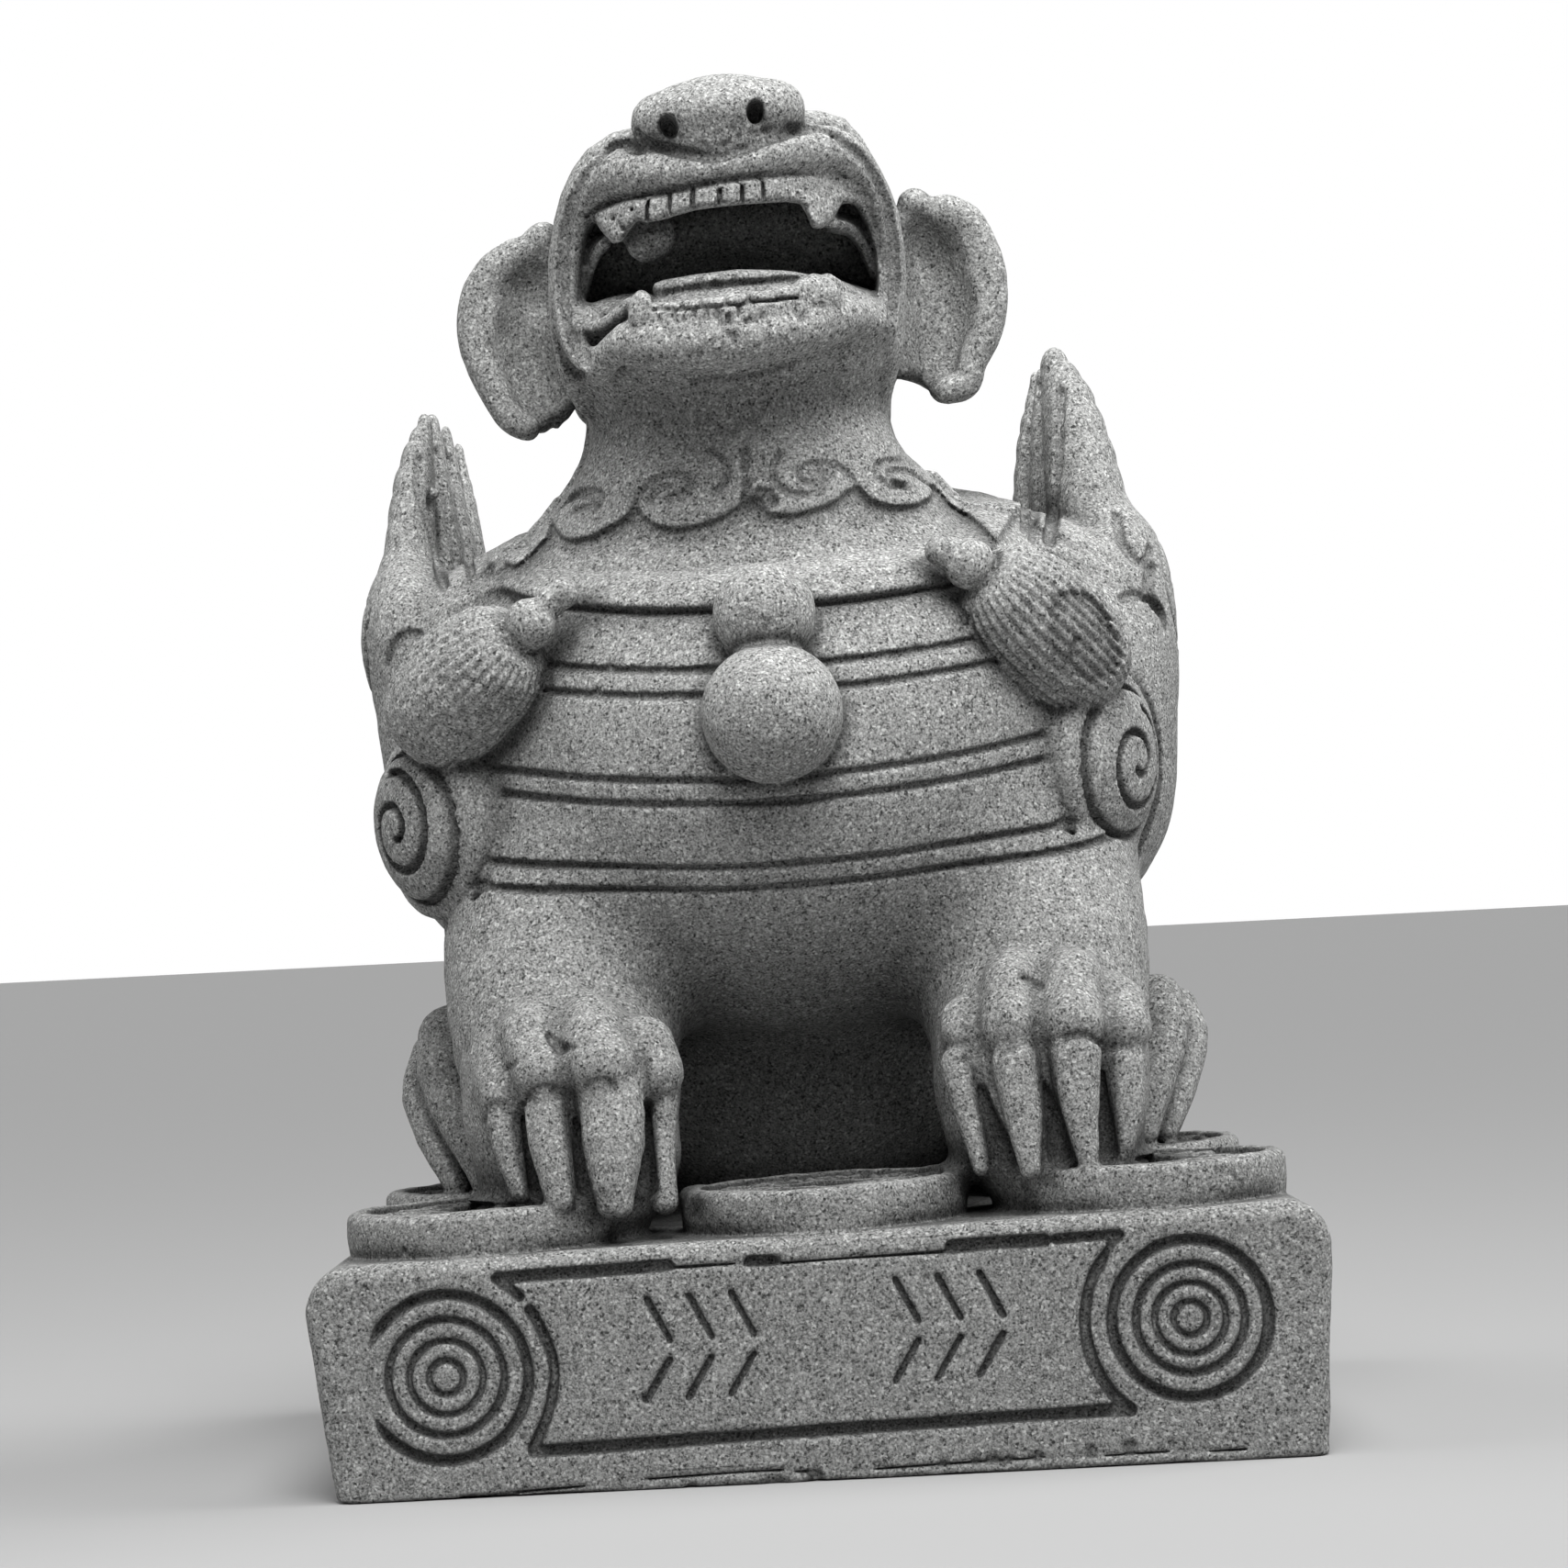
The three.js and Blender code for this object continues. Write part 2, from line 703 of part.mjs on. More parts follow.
// A wing: a curled root and a fan of overlapping feathers that point up and back
const FEATHERS = [
  { root: [24.2, 0, 39], tip: [22.3, 3, 55.6], wide: 3.6 },
  { root: [23.6, 4.4, 38], tip: [21, 9, 52.6], wide: 3.6 },
  { root: [22.8, 8.4, 36.5], tip: [19.8, 14.4, 48.6], wide: 3.5 },
  { root: [21.8, 11.4, 34], tip: [18.8, 18.4, 43.4], wide: 3.3 },
];
const WING_ROOT = { middle: [24, 1.6, 39.4], radii: [4.6, 8, 7.6] };

function wing() {
  const feathers = FEATHERS.map(({ root, tip, wide }) => {
    const belly = root.map((value, i) => lerp(value, tip[i], 0.5));
    belly[0] += 0.9;
    return limb([root, belly, tip], (t) => wide * Math.sqrt(1 - 0.9 * t ** 2.4), {
      sides: 5,
      steps: 3,
      flat: 0.66,
      side: [0, 1, 0],
    });
  });
  const root = ellipsoid(WING_ROOT.middle, WING_ROOT.radii, { around: 10, rows: 6 });
  return join([root, ...feathers]);
}

// The tail sweeps round to the beast's own right and up its flank.
const TAIL = [
  [2, 22, 4],
  [-7, 24.4, 6],
  [-15.6, 22.4, 9.5],
  [-22, 17.6, 16],
  [-23.8, 13.2, 23],
];

// The mane: three overlapping crests down the back of the neck
const CRESTS = [
  { middle: [-1.6, 6.4, 57], radii: [5.4, 4.6, 7.4] },
  { middle: [-1.2, 10.4, 49], radii: [6, 4.6, 7] },
  { middle: [-0.8, 15.4, 41.4], radii: [6.4, 4.6, 6.6] },
];

function mane() {
  return join(
    CRESTS.map(({ middle, radii }) =>
      ellipsoid(middle, radii, { around: 8, rows: 4, tilt: 32 }),
    ),
  );
}

// The head, about its own middle, looking along -Y. It is placed on the neck at HEAD_MIDDLE.
const HEAD_MIDDLE = [-1.4, -6, 60];
const HEAD_ROLL = degToRad(-2.2);
const MOUTH_HALF_WIDTH = 9.9;
const TEETH = 8;
const TOOTH = { height: 1.4, fang: 3.4, root: 1.6, depth: 2.2, arc: 0.072, droop: 0.012 };
const UPPER_TEETH = { z: 5.2, front: -18.4, hang: 1, wide: 8.2 };
const LOWER_TEETH = { z: -1.6, front: -17.2, hang: -1, wide: 7.2 };

function skull() {
  return join([
    ellipsoid([0, 1, 0.4], [12.2, 11, 11.2], { around: 12, rows: 7 }),
    ellipsoid([0, -8.4, 6], [11.2, 10.4, 5.5], { around: 12, rows: 5, tilt: -12 }),
    ellipsoid([0, -8, -4], [10.8, 10, 4.9], { around: 12, rows: 5, tilt: -6 }),
  ]);
}

// The open mouth, as the outline that shows from the front: arched above, with drooping corners
function mouthShape() {
  const w = MOUTH_HALF_WIDTH;
  const shape = new THREE.Shape();
  shape.moveTo(-w, -2.4);
  shape.bezierCurveTo(-w - 0.4, 2.6, -w * 0.6, 4.4, 0, 4.8);
  shape.bezierCurveTo(w * 0.6, 4.4, w + 0.4, 2.6, w, -2.4);
  shape.bezierCurveTo(w * 0.8, -3.2, w * 0.72, -0.6, w * 0.5, -0.9);
  shape.lineTo(-w * 0.5, -0.9);
  shape.bezierCurveTo(-w * 0.72, -0.6, -w * 0.8, -3.2, -w, -2.4);
  return shape;
}

const MOUTH_DEPTH = 16;
const MOUTH_BACK = -4;
const MOUTH_RISE = 0.16; // how much the mouth's floor and roof climb, per unit forward

function mouth() {
  const block = new THREE.ExtrudeGeometry(mouthShape(), {
    depth: MOUTH_DEPTH + 4,
    bevelEnabled: false,
    curveSegments: 3,
  });
  return solid(
    warp(block.rotateX(Math.PI / 2), (p) => {
      const inward = Math.max(0, MOUTH_DEPTH + p.y);
      p.x *= 1 - 0.012 * inward ** 1.3;
      p.z -= MOUTH_RISE * inward;
      p.y += MOUTH_BACK;
    }),
  );
}

// A row of teeth as one comb that follows the arc of the lip, with a fang at either end. hang is 1 for
// the upper row and -1 for the lower one.
function toothRow({ z, front, hang, wide }) {
  const pitch = (2 * wide) / TEETH;
  const outline = [];
  for (let i = 0; i < TEETH; i++) {
    const fang = i === 0 || i === TEETH - 1;
    const low = -hang * (fang ? TOOTH.fang : TOOTH.height);
    const left = i * pitch - wide;
    const inset = fang ? 0.32 * pitch : 0.14 * pitch;
    outline.push([left, 0], [left + inset, low], [left + pitch - inset, low]);
  }
  outline.push([wide, 0], [wide, hang * TOOTH.root], [-wide, hang * TOOTH.root]);
  const shape = new THREE.Shape(outline.map((p) => new THREE.Vector2(...p)));
  const block = new THREE.ExtrudeGeometry(shape, {
    depth: TOOTH.depth,
    bevelEnabled: false,
  });
  return solid(
    warp(block.rotateX(Math.PI / 2), (p) => {
      p.y += front + TOOTH.depth + TOOTH.arc * p.x * p.x;
      p.z += z - hang * TOOTH.droop * p.x * p.x;
    }),
  );
}

const TONGUE = { middle: [0, -9.4, -0.9], radii: [5.4, 6.6, 1.2] };
const EAR = { middle: [14.8, 1.6, -0.4], radii: [4.3, 3.6, 7.6] };
const EAR_HOLLOW = { middle: [14.4, -2.4, -1.4], radii: [2.5, 3.4, 5.4] };

function ear() {
  const leaf = ellipsoid(EAR.middle, EAR.radii, { around: 9, rows: 6, roll: -4 });
  const hollow = ellipsoid(EAR_HOLLOW.middle, EAR_HOLLOW.radii, { around: 7, rows: 4 });
  return leaf.subtract(hollow);
}

// Brow, eye and the horn that lies back along the crown
const BROW = [
  [2.4, -10, 10.6],
  [6.4, -7.6, 10.4],
  [9.4, -3, 8],
  [10.6, 1.4, 5],
];
const EYE = { middle: [6, -8.8, 9.2], radii: [2.4, 2.2, 2] };
const HORN = [
  [3.4, -2, 10.2],
  [4, 4, 10.8],
  [4.2, 9.4, 8.2],
  [4, 12.6, 3.6],
];

function crown() {
  return join([
    limb(BROW, (t) => 1.7 - 0.5 * t, { sides: 5, steps: 3 }),
    ellipsoid(EYE.middle, EYE.radii, { around: 7, rows: 4 }),
    limb(HORN, (t) => 2.3 - 1.5 * t, { sides: 5, steps: 3 }),
  ]);
}

const NOSE = { middle: [0.1, -14.8, 10.7], radii: [5.4, 4.2, 3.2] };
const NOSE_WING = { middle: [3.4, -15.6, 9.9], radii: [2.2, 2.6, 2.3] };
const NOSTRIL = { middle: [2.8, -18.2, 9.8], radii: [0.9, 2.2, 1] };

function nose() {
  const tip = ellipsoid(NOSE.middle, NOSE.radii, { around: 10, rows: 6 });
  const side = ellipsoid(NOSE_WING.middle, NOSE_WING.radii, { around: 6, rows: 4 });
  const hole = ellipsoid(NOSTRIL.middle, NOSTRIL.radii, { around: 5, rows: 3 });
  return tip.add(bothSides(side)).subtract(bothSides(hole));
}

// The upper lip's roll, from the middle round the cheek to the corner, and the lower lip's
const UPPER_LIP = [
  [0, -19, 5.8],
  [3.2, -18.8, 7],
  [7.4, -15.8, 6.6],
  [10, -12.4, 3.8],
  [10.7, -10.6, -0.4],
  [9.7, -10.4, -3.6],
];
const LOWER_LIP = [
  [0, -16.8, -2.6],
  [5, -15.8, -2.4],
  [8.4, -12.8, -3.4],
  [9.8, -10.4, -4.2],
];

function lips() {
  const upper = limb(UPPER_LIP, (t) => 1.4 - 0.3 * t, { sides: 5, steps: 7 });
  const lower = limb(LOWER_LIP, () => 1.2, { sides: 5, steps: 4 });
  return upper.add(lower);
}

function head() {
  const face = skull().add(bothSides(lips())).subtract(mouth());
  const tongue = ellipsoid(TONGUE.middle, TONGUE.radii, { around: 8, rows: 4, tilt: -8 });
  const whole = join([
    face,
    nose(),
    toothRow(UPPER_TEETH),
    toothRow(LOWER_TEETH),
    tongue,
    bothSides(ear()),
    bothSides(crown()),
  ]);
  const place = new THREE.Matrix4().makeRotationY(HEAD_ROLL).setPosition(...HEAD_MIDDLE);
  return moved(whole, place);
}

function figure() {
  const body = join([
    torso(),
    ellipsoid(RUMP.middle, RUMP.radii, { around: 12, rows: 7 }),
    neckAndCollar(),
    mane(),
    limb(TAIL, (t) => 3.6 + Math.sin(Math.PI * t) - 2.4 * t ** 3, { sides: 6, steps: 6 }),
  ]);
  const shoulder = ellipsoid(SHOULDER.middle, SHOULDER.radii, { around: 10, rows: 6 });
  const limbs = join([shoulder, foreleg(), ...FORE_TOES.map(toe), hindleg(), wing()]);
  const trappings = [bell(), ...TASSELS.map(tassel), ...PLATES.map(plate)];
  const whole = join([body, bothSides(limbs), ...trappings, head()]);
  return solid(
    geometryOf(whole)
      .scale(MODULE, MODULE, MODULE)
      .translate(0, 0, PLINTH_HEIGHT + COIN_THICKNESS),
  );
}

// The casting leans a little over its ground underside, which is cut flat and level.
function casting() {
  const carvedPlinth = plinthBlock().subtract(frontCarving());
  const whole = join([carvedPlinth, ...COIN_PLACES.map(coin), figure()]);
  const leaning = moved(whole, new THREE.Matrix4().makeRotationY(-LEAN));
  const reach = 2 * (PLINTH_WIDTH + PLINTH_DEPTH);
  const ground = solid(
    new THREE.BoxGeometry(reach, reach, reach).translate(0, 0, -reach / 2),
  );
  return withoutShortEdges(outerSkin(leaning.subtract(ground)), SHORTEST_EDGE);
}

const pixiu = new THREE.Mesh(
  geometryOf(casting()),
  new THREE.MeshStandardMaterial({
    color: STONE,
    roughness: 0.92,
    metalness: 0,
  }),
);
pixiu.name = "pixiu_figure";

const part = new THREE.Group();
part.add(pixiu);

export default part;
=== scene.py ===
import math

import bpy
import numpy as np
from mathutils import Matrix, Vector


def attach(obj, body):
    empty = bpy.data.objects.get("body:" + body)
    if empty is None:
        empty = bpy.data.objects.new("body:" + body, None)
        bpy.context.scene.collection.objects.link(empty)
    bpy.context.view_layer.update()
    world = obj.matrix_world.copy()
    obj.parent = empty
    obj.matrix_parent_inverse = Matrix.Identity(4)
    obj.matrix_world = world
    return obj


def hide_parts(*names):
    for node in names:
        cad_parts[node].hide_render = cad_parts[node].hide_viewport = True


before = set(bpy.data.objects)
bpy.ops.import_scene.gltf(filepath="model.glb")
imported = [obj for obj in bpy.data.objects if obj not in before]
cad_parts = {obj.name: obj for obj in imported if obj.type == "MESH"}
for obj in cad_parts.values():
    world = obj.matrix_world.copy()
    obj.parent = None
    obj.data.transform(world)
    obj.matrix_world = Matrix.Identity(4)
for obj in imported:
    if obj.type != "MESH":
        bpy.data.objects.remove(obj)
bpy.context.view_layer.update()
STEP = 0.2  # the clay's grain, in millimetres
TRIANGLES = 770000  # in all six pieces together

# Sizes here are in millimetres. The figure's own frame leans by LEAN over the level ground.
LEAN = math.radians(1.2)
SEAT = 18.7  # height of the coins' tops, where the beast's own frame starts
TURN = np.array(
    [[math.cos(LEAN), 0, -math.sin(LEAN)], [0, 1, 0], [math.sin(LEAN), 0, math.cos(LEAN)]]
)
EYE = np.array([-0.754, -331.0, 36.232])
AHEAD = np.array([-0.000599, 0.999590, 0.028613])
RIGHT = np.array([0.998754, 0.002026, -0.049867])
ABOVE = np.array([0.049904, -0.028548, 0.998346])
PHOTO = 1708
FOCAL = 5070.0  # in pixels of the photograph
REACH = 3.2  # how far outside a form its distances stay true
SIDES = (-1, 1)  # the viewer's left and right
NEAREST, FURTHEST = -36.0, 32.0  # depths between which a line of sight is followed
SIGHT_STEP = 0.2
CHART_EDGE = 70  # pixels charted round an outline of the photograph


def ray(px, py):
    """The line of sight through a pixel of the photograph, in the ground's frame."""
    half = PHOTO / 2
    return AHEAD * FOCAL + RIGHT * (px - half) - ABOVE * (py - half)


def aim(px, py, y):
    """The point of the beast's frame that shows at a pixel, at depth y."""
    line = ray(px, py)
    ground = EYE + line * ((y - EYE[1]) / line[1])
    return ground @ TURN - [0, 0, SEAT]


def aimed(rows):
    """Rows of pixel x, pixel y, depth and radius as rows of x, y, z and radius."""
    return [[*aim(px, py, y), r] for px, py, y, r in rows]


def dot(p, line):
    return sum(p[i] * line[i] for i in range(3))


def corner(a, b, r):
    """Two faces that meet in a round edge."""
    p, q = a + r, b + r
    return np.hypot(np.maximum(p, 0), np.maximum(q, 0)) + np.minimum(np.maximum(p, q), 0) - r


def smooth_min(a, b, k):
    if not k:
        return np.minimum(a, b)
    h = np.maximum(k - np.abs(a - b), 0) / k
    return np.minimum(a, b) - h * h * (k / 4)


def smooth_max(a, b, k):
    return -smooth_min(-a, -b, k)


def between(parts, pick):
    """A value inside a cell, from how far the point is along each side and the values at the corners."""
    total = 0
    for bits in np.ndindex(2, 2, 2):
        share = 1
        for bit, part in zip(bits[::-1], parts):
            share = share * (part if bit else 1 - part)
        total = total + share * pick(bits[::-1])
    return total


def spline(rows, count):
    """Points on a smooth curve through the rows."""
    rows = np.array(rows, float)
    if len(rows) == 2:
        t = np.linspace(0, 1, count)[:, None]
        return rows[0] * (1 - t) + rows[1] * t
    ends = np.vstack([2 * rows[0] - rows[1], rows, 2 * rows[-1] - rows[-2]])
    place = np.linspace(0, len(rows) - 1 - 1e-9, count)
    i = place.astype(int)
    u = (place - i)[:, None]
    a, b, c, d = (ends[i + k] for k in range(4))
    return (b * 2 + (c - a) * u + (2 * a - 5 * b + 4 * c - d) * u * u + (3 * b - a - 3 * c + d) * u**3) / 2


def turned(tilt=0, roll=0, turn=0):
    """A rotation by roll about Y, then tilt about X, then turn about Z, in degrees."""

    def about(axis, degrees):
        c, s = math.cos(math.radians(degrees)), math.sin(math.radians(degrees))
        i, j = (axis + 1) % 3, (axis + 2) % 3
        out = np.eye(3)
        out[i, i], out[i, j], out[j, i], out[j, j] = c, -s, s, c
        return out

    return about(2, turn) @ about(0, tilt) @ about(1, roll)


# A form is a distance function with the box that holds the form.
def on_axes(middle, axes, low, high, shape):
    """A form whose shape is a function of the distances from middle along three axes."""

    def far(x, y, z):
        p = [x - middle[0], y - middle[1], z - middle[2]]
        return shape(*(dot(p, axis) for axis in axes))

    return far, low, high


def ball(middle, radii, rotation=None):
    middle = np.array(middle, float)
    radii = np.ones(3) * radii
    rotation = np.eye(3) if rotation is None else rotation

    def far(x, y, z):
        p = [x - middle[0], y - middle[1], z - middle[2]]
        q = [dot(p, rotation[:, i]) for i in range(3)]
        near = np.sqrt(sum((q[i] / radii[i]) ** 2 for i in range(3)))
        steep = np.sqrt(sum((q[i] / radii[i] ** 2) ** 2 for i in range(3)))
        return near * (near - 1) / np.maximum(steep, 1e-4)

    half = np.sqrt(((rotation * radii) ** 2).sum(1))
    return far, middle - half, middle + half


def limb(rows, count=0, flat=None):
    """A round limb through rows of x, y, z and radius. flat gives how much it is squeezed in x."""
    rows = spline(rows, count) if count else np.array(rows, float)
    points, radii = rows[:, :3], rows[:, 3]

    def far(x, y, z):
        best = None
        for a, b, ra, rb in zip(points[:-1], points[1:], radii[:-1], radii[1:]):
            ab = b - a
            p = [x - a[0], y - a[1], z - a[2]]
            t = np.clip(dot(p, ab) / max(ab @ ab, 1e-9), 0, 1)
            p = [p[i] - t * ab[i] for i in range(3)]
            square = dot(p, p)
            if flat:
                square = square + (1 / flat**2 - 1) * p[0] ** 2
            gap = np.sqrt(square) - (ra + (rb - ra) * t)
            best = gap if best is None else np.minimum(best, gap)
        return best

    wide = radii[:, None]
    return far, (points - wide).min(0), (points + wide).max(0)


class Clay:
    """A block of space that holds signed distances, below zero in the stone."""

    def __init__(self, *axes):
        self.axes = [np.array(a, np.float32) for a in axes]
        self.gap = np.full([len(a) for a in self.axes], REACH + 1, np.float32)

    def change(self, form, how, margin):
        """Puts how(old, new) in place of the distances in the form's box."""
        far, low, high = form
        block = tuple(
            slice(*(int(k) for k in np.searchsorted(axis, (lo - margin, hi + margin))))
            for axis, lo, hi in zip(self.axes, low, high)
        )
        x, y, z = (axis[part] for axis, part in zip(self.axes, block))
        old = self.gap[block]
        if old.size:
            new = far(x[:, None, None], y[None, :, None], z[None, None, :])
            self.gap[block] = how(old, new.astype(np.float32))

    def add(self, form, blend=0.0):
        self.change(form, lambda old, new: smooth_min(old, new, blend), REACH + blend)

    def cut(self, form, blend=0.0):
        self.change(form, lambda old, new: smooth_max(old, -new, blend), REACH + blend)

    def score(self, form, width, depth, soft=0.12):
        """A groove where the form's own surface meets the clay's."""
        half = width / 2
        self.change(
            form,
            lambda old, new: smooth_max(old, half - np.sqrt(new**2 + (old * half / depth) ** 2), soft),
            1.0,
        )

    def sink(self, form, depth, soft=0.15):
        """Lowers the skin by depth inside the form."""
        self.change(
            form,
            lambda old, new: smooth_min(old + depth, smooth_max(old, -new, soft), soft),
            depth + 1,
        )

    def raise_(self, form, height, soft=0.15):
        """Lifts the skin by height inside the form."""
        self.change(
            form,
            lambda old, new: smooth_min(old, smooth_max(old - height, new, soft), soft),
            height + REACH,
        )

    def sample(self, points):
        """The distance at each point, between the grid's points in a straight line."""
        points = np.asarray(points, float)
        at, parts = [], []
        for i, axis in enumerate(self.axes):
            k = np.clip(np.searchsorted(axis, points[..., i]) - 1, 0, len(axis) - 2)
            at.append(k)
            parts.append((points[..., i] - axis[k]) / (axis[k + 1] - axis[k]))
        return between(parts, lambda bits: self.gap[tuple(a + b for a, b in zip(at, bits))])

    def seen(self, pixels):
        """The points of the skin that show at pixels of the photograph."""
        lines = np.array([ray(*p) for p in pixels])
        lines /= lines[:, 1:2]
        reach = np.arange(NEAREST, FURTHEST, SIGHT_STEP) - EYE[1]
        path = (EYE + lines[:, None, :] * reach[None, :, None]) @ TURN - [0, 0, SEAT]
        found = []
        for row, points in zip(self.sample(path), path):
            k = int(np.argmax(row < 0))
            if row[k] < 0:
                t = row[k - 1] / (row[k - 1] - row[k]) if k else 0
                found.append(points[k - 1] * (1 - t) + points[k] * t)
            else:
                found.append(points[int(np.argmin(row))])
        return np.array(found)

    def spot(self, px, py):
        return self.seen([(px, py)])[0]

    def cord(self, pixels, radius, count=0):
        """A thin limb that lies on the skin along a line of pixels."""
        points = self.seen(spline(pixels, count or 4 * len(pixels)))
        return limb(np.column_stack([points, np.full(len(points), radius)]))

    def trace(self, pixels, radius, count=0):
        """A groove along a line of pixels."""
        self.cut(self.cord(pixels, radius, count), 0.1)

    def pit(self, pixel, radii, blend):
        self.cut(ball(self.spot(*pixel), radii), blend)

    def skin(self):
        """The surface as points and four-sided faces, with one point in each cell that it crosses."""
        inside = self.gap < 0
        cells = np.zeros([n - 1 for n in inside.shape], bool)
        for i, j, k in np.ndindex(2, 2, 2):
            part = inside[i : i + cells.shape[0], j : j + cells.shape[1], k : k + cells.shape[2]]
            cells |= part != inside[:-1, :-1, :-1]
        where = np.argwhere(cells).T
        number = np.full(cells.shape, -1, np.int64)
        number[cells] = np.arange(where.shape[1])
        total = np.zeros((where.shape[1], 3))
        count = np.zeros(where.shape[1])
        for axis, u, v in np.ndindex(3, 2, 2):
            start = where.copy()
            start[(axis + 1) % 3] += u
            start[(axis + 2) % 3] += v
            end = start.copy()
            end[axis] += 1
            a, b = self.gap[tuple(start)], self.gap[tuple(end)]
            crossing = (a < 0) != (b < 0)
            t = np.where(crossing, a / np.where(crossing, a - b, 1), 0)
            for i, line in enumerate(self.axes):
                low, high = line[start[i]], line[end[i]]
                total[:, i] += np.where(crossing, low + (high - low) * t, 0)
            count += crossing
        faces = []
        for axis in range(3):
            one, two = (axis + 1) % 3, (axis + 2) % 3
            low, high = [slice(1, -1)] * 3, [slice(1, -1)] * 3
            low[axis], high[axis] = slice(None, -1), slice(1, None)
            start, end = inside[tuple(low)], inside[tuple(high)]
            for change, order in ((start & ~end, 1), (~start & end, -1)):
                spot = np.argwhere(change).T
                ring = []
                for u, v in ((1, 1), (0, 1), (0, 0), (1, 0)):
                    q = spot.copy()
                    q[one] += u
                    q[two] += v
                    ring.append(number[tuple(q)])
                faces.append(np.stack(ring[::order], 1))
        return total / count[:, None], np.vstack(faces)


def outline_gap(pixels):
    """How far outside an outline of the photograph a point shows, in millimetres."""
    pixels = np.array(pixels, float)
    low = pixels.min(0) - CHART_EDGE
    size = (pixels.max(0) + CHART_EDGE - low).astype(int) + 1
    px, py = np.meshgrid(np.arange(size[0]) + low[0], np.arange(size[1]) + low[1], indexing="ij")
    best = np.full(px.shape, 1e9)
    inside = np.zeros(px.shape, bool)
    for (ax, ay), (bx, by) in zip(pixels, np.roll(pixels, -1, 0)):
        dx, dy = bx - ax, by - ay
        t = np.clip(((px - ax) * dx + (py - ay) * dy) / max(dx * dx + dy * dy, 1e-9), 0, 1)
        best = np.minimum(best, np.hypot(px - ax - t * dx, py - ay - t * dy))
        if dy:
            inside ^= ((ay > py) != (by > py)) & (px < ax + (py - ay) * dx / dy)
    chart = np.where(inside, -best, best).astype(np.float32)

    def gap(x, y, z):
        place = np.broadcast_arrays(
            TURN[0, 0] * x + TURN[0, 2] * (z + SEAT) - EYE[0],
            y - EYE[1],
            TURN[2, 0] * x + TURN[2, 2] * (z + SEAT) - EYE[2],
        )
        depth = dot(place, AHEAD)
        i = PHOTO / 2 + FOCAL * dot(place, RIGHT) / depth - low[0]
        j = PHOTO / 2 - FOCAL * dot(place, ABOVE) / depth - low[1]
        i = np.clip(i.astype(np.float32), 0, chart.shape[0] - 1.01)
        j = np.clip(j.astype(np.float32), 0, chart.shape[1] - 1.01)
        i0, j0 = i.astype(np.int32), j.astype(np.int32)
        u, v = i - i0, j - j0
        near = chart[i0, j0] * (1 - u) + chart[i0 + 1, j0] * u
        below = chart[i0, j0 + 1] * (1 - u) + chart[i0 + 1, j0 + 1] * u
        return (near * (1 - v) + below * v) * depth / FOCAL

    return gap


def prism(pixels, near, back, grow=0.0, taper=0.0):
    """What shows inside an outline of the photograph, between two depths."""
    gap = outline_gap(pixels)
    ends = np.array([aim(*p, y) for p in pixels for y in (near, back)])
    low, high = ends.min(0) - 0.5 - max(grow, 0), ends.max(0) + 0.5 + max(grow, 0)
    low[1], high[1] = near, back

    def far(x, y, z):
        flat = gap(x, y, z) - grow + taper * (y - near)
        return np.maximum(flat, np.maximum(near - y, y - back))

    return far, low, high


def pillow(pixels, base, rise, edge, back=3.0):
    """A cushion on an outline of the photograph: it stands rise ahead of the surface y = base(x, z)."""
    gap = outline_gap(pixels)
    ends = np.array([aim(*p, -20) for p in pixels])
    depth = base(ends[:, 0], ends[:, 2])
    low, high = ends.min(0) - 0.5, ends.max(0) + 0.5
    low[1], high[1] = depth.min() - rise - 2, depth.max() + back + 1

    def far(x, y, z):
        ahead = base(x, z) - y
        u = np.maximum(gap(x, y, z) + edge, 0)
        v = np.maximum(ahead, 0)
        near = np.sqrt((u / edge) ** 2 + (v / rise) ** 2)
        steep = np.sqrt((u / edge**2) ** 2 + (v / rise**2) ** 2)
        face = np.where(steep > 1e-3, near * (near - 1) / np.maximum(steep, 1e-3), -min(edge, rise))
        return np.maximum(face, -ahead - back)

    return far, low, high


# The body is a barrel on an axis that leans forward.
BARREL = np.array([0, -1, 28.3])  # its middle
BARREL_BOX = BARREL - 25.5, BARREL + 25.5
BARREL_LEAN = math.radians(14)
BARREL_RADIUS = 24.2
BULGE = 2.1  # the power that rounds the barrel's ends
BANDS = (-2.3, 3.6, 10.5)  # places along the axis
NECKLINE = 16.05


def along_barrel(x, y, z):
    return -(y - BARREL[1]) * math.sin(BARREL_LEAN) + (z - BARREL[2]) * math.cos(BARREL_LEAN) + 0 * x


def barrel(x, y, z):
    s = along_barrel(x, y, z)
    square = (x - BARREL[0]) ** 2 + (y - BARREL[1]) ** 2 + (z - BARREL[2]) ** 2 - s * s
    r = np.sqrt(np.maximum(square, 1e-6))
    up = s - 1.5
    reach = np.where(up > 0, 21.0, 20.6)
    share = np.abs(up) / reach
    g = (r / BARREL_RADIUS) ** 2 + share**BULGE - 1
    slope = np.sqrt((2 * r / BARREL_RADIUS**2) ** 2 + (BULGE * share ** (BULGE - 1) / reach) ** 2)
    return g / np.maximum(slope, 0.03)


def barrel_level(at, low, high):
    """The surface that lies at one place along the barrel."""
    return (lambda x, y, z: along_barrel(x, y, z) - at), low, high


def build_bands(clay, low, high):
    """Paired grooves round the belly."""
    for at in BANDS:
        for side in (-0.78, 0.78):
            clay.score(barrel_level(at + side, low, high), 0.5, 0.42)


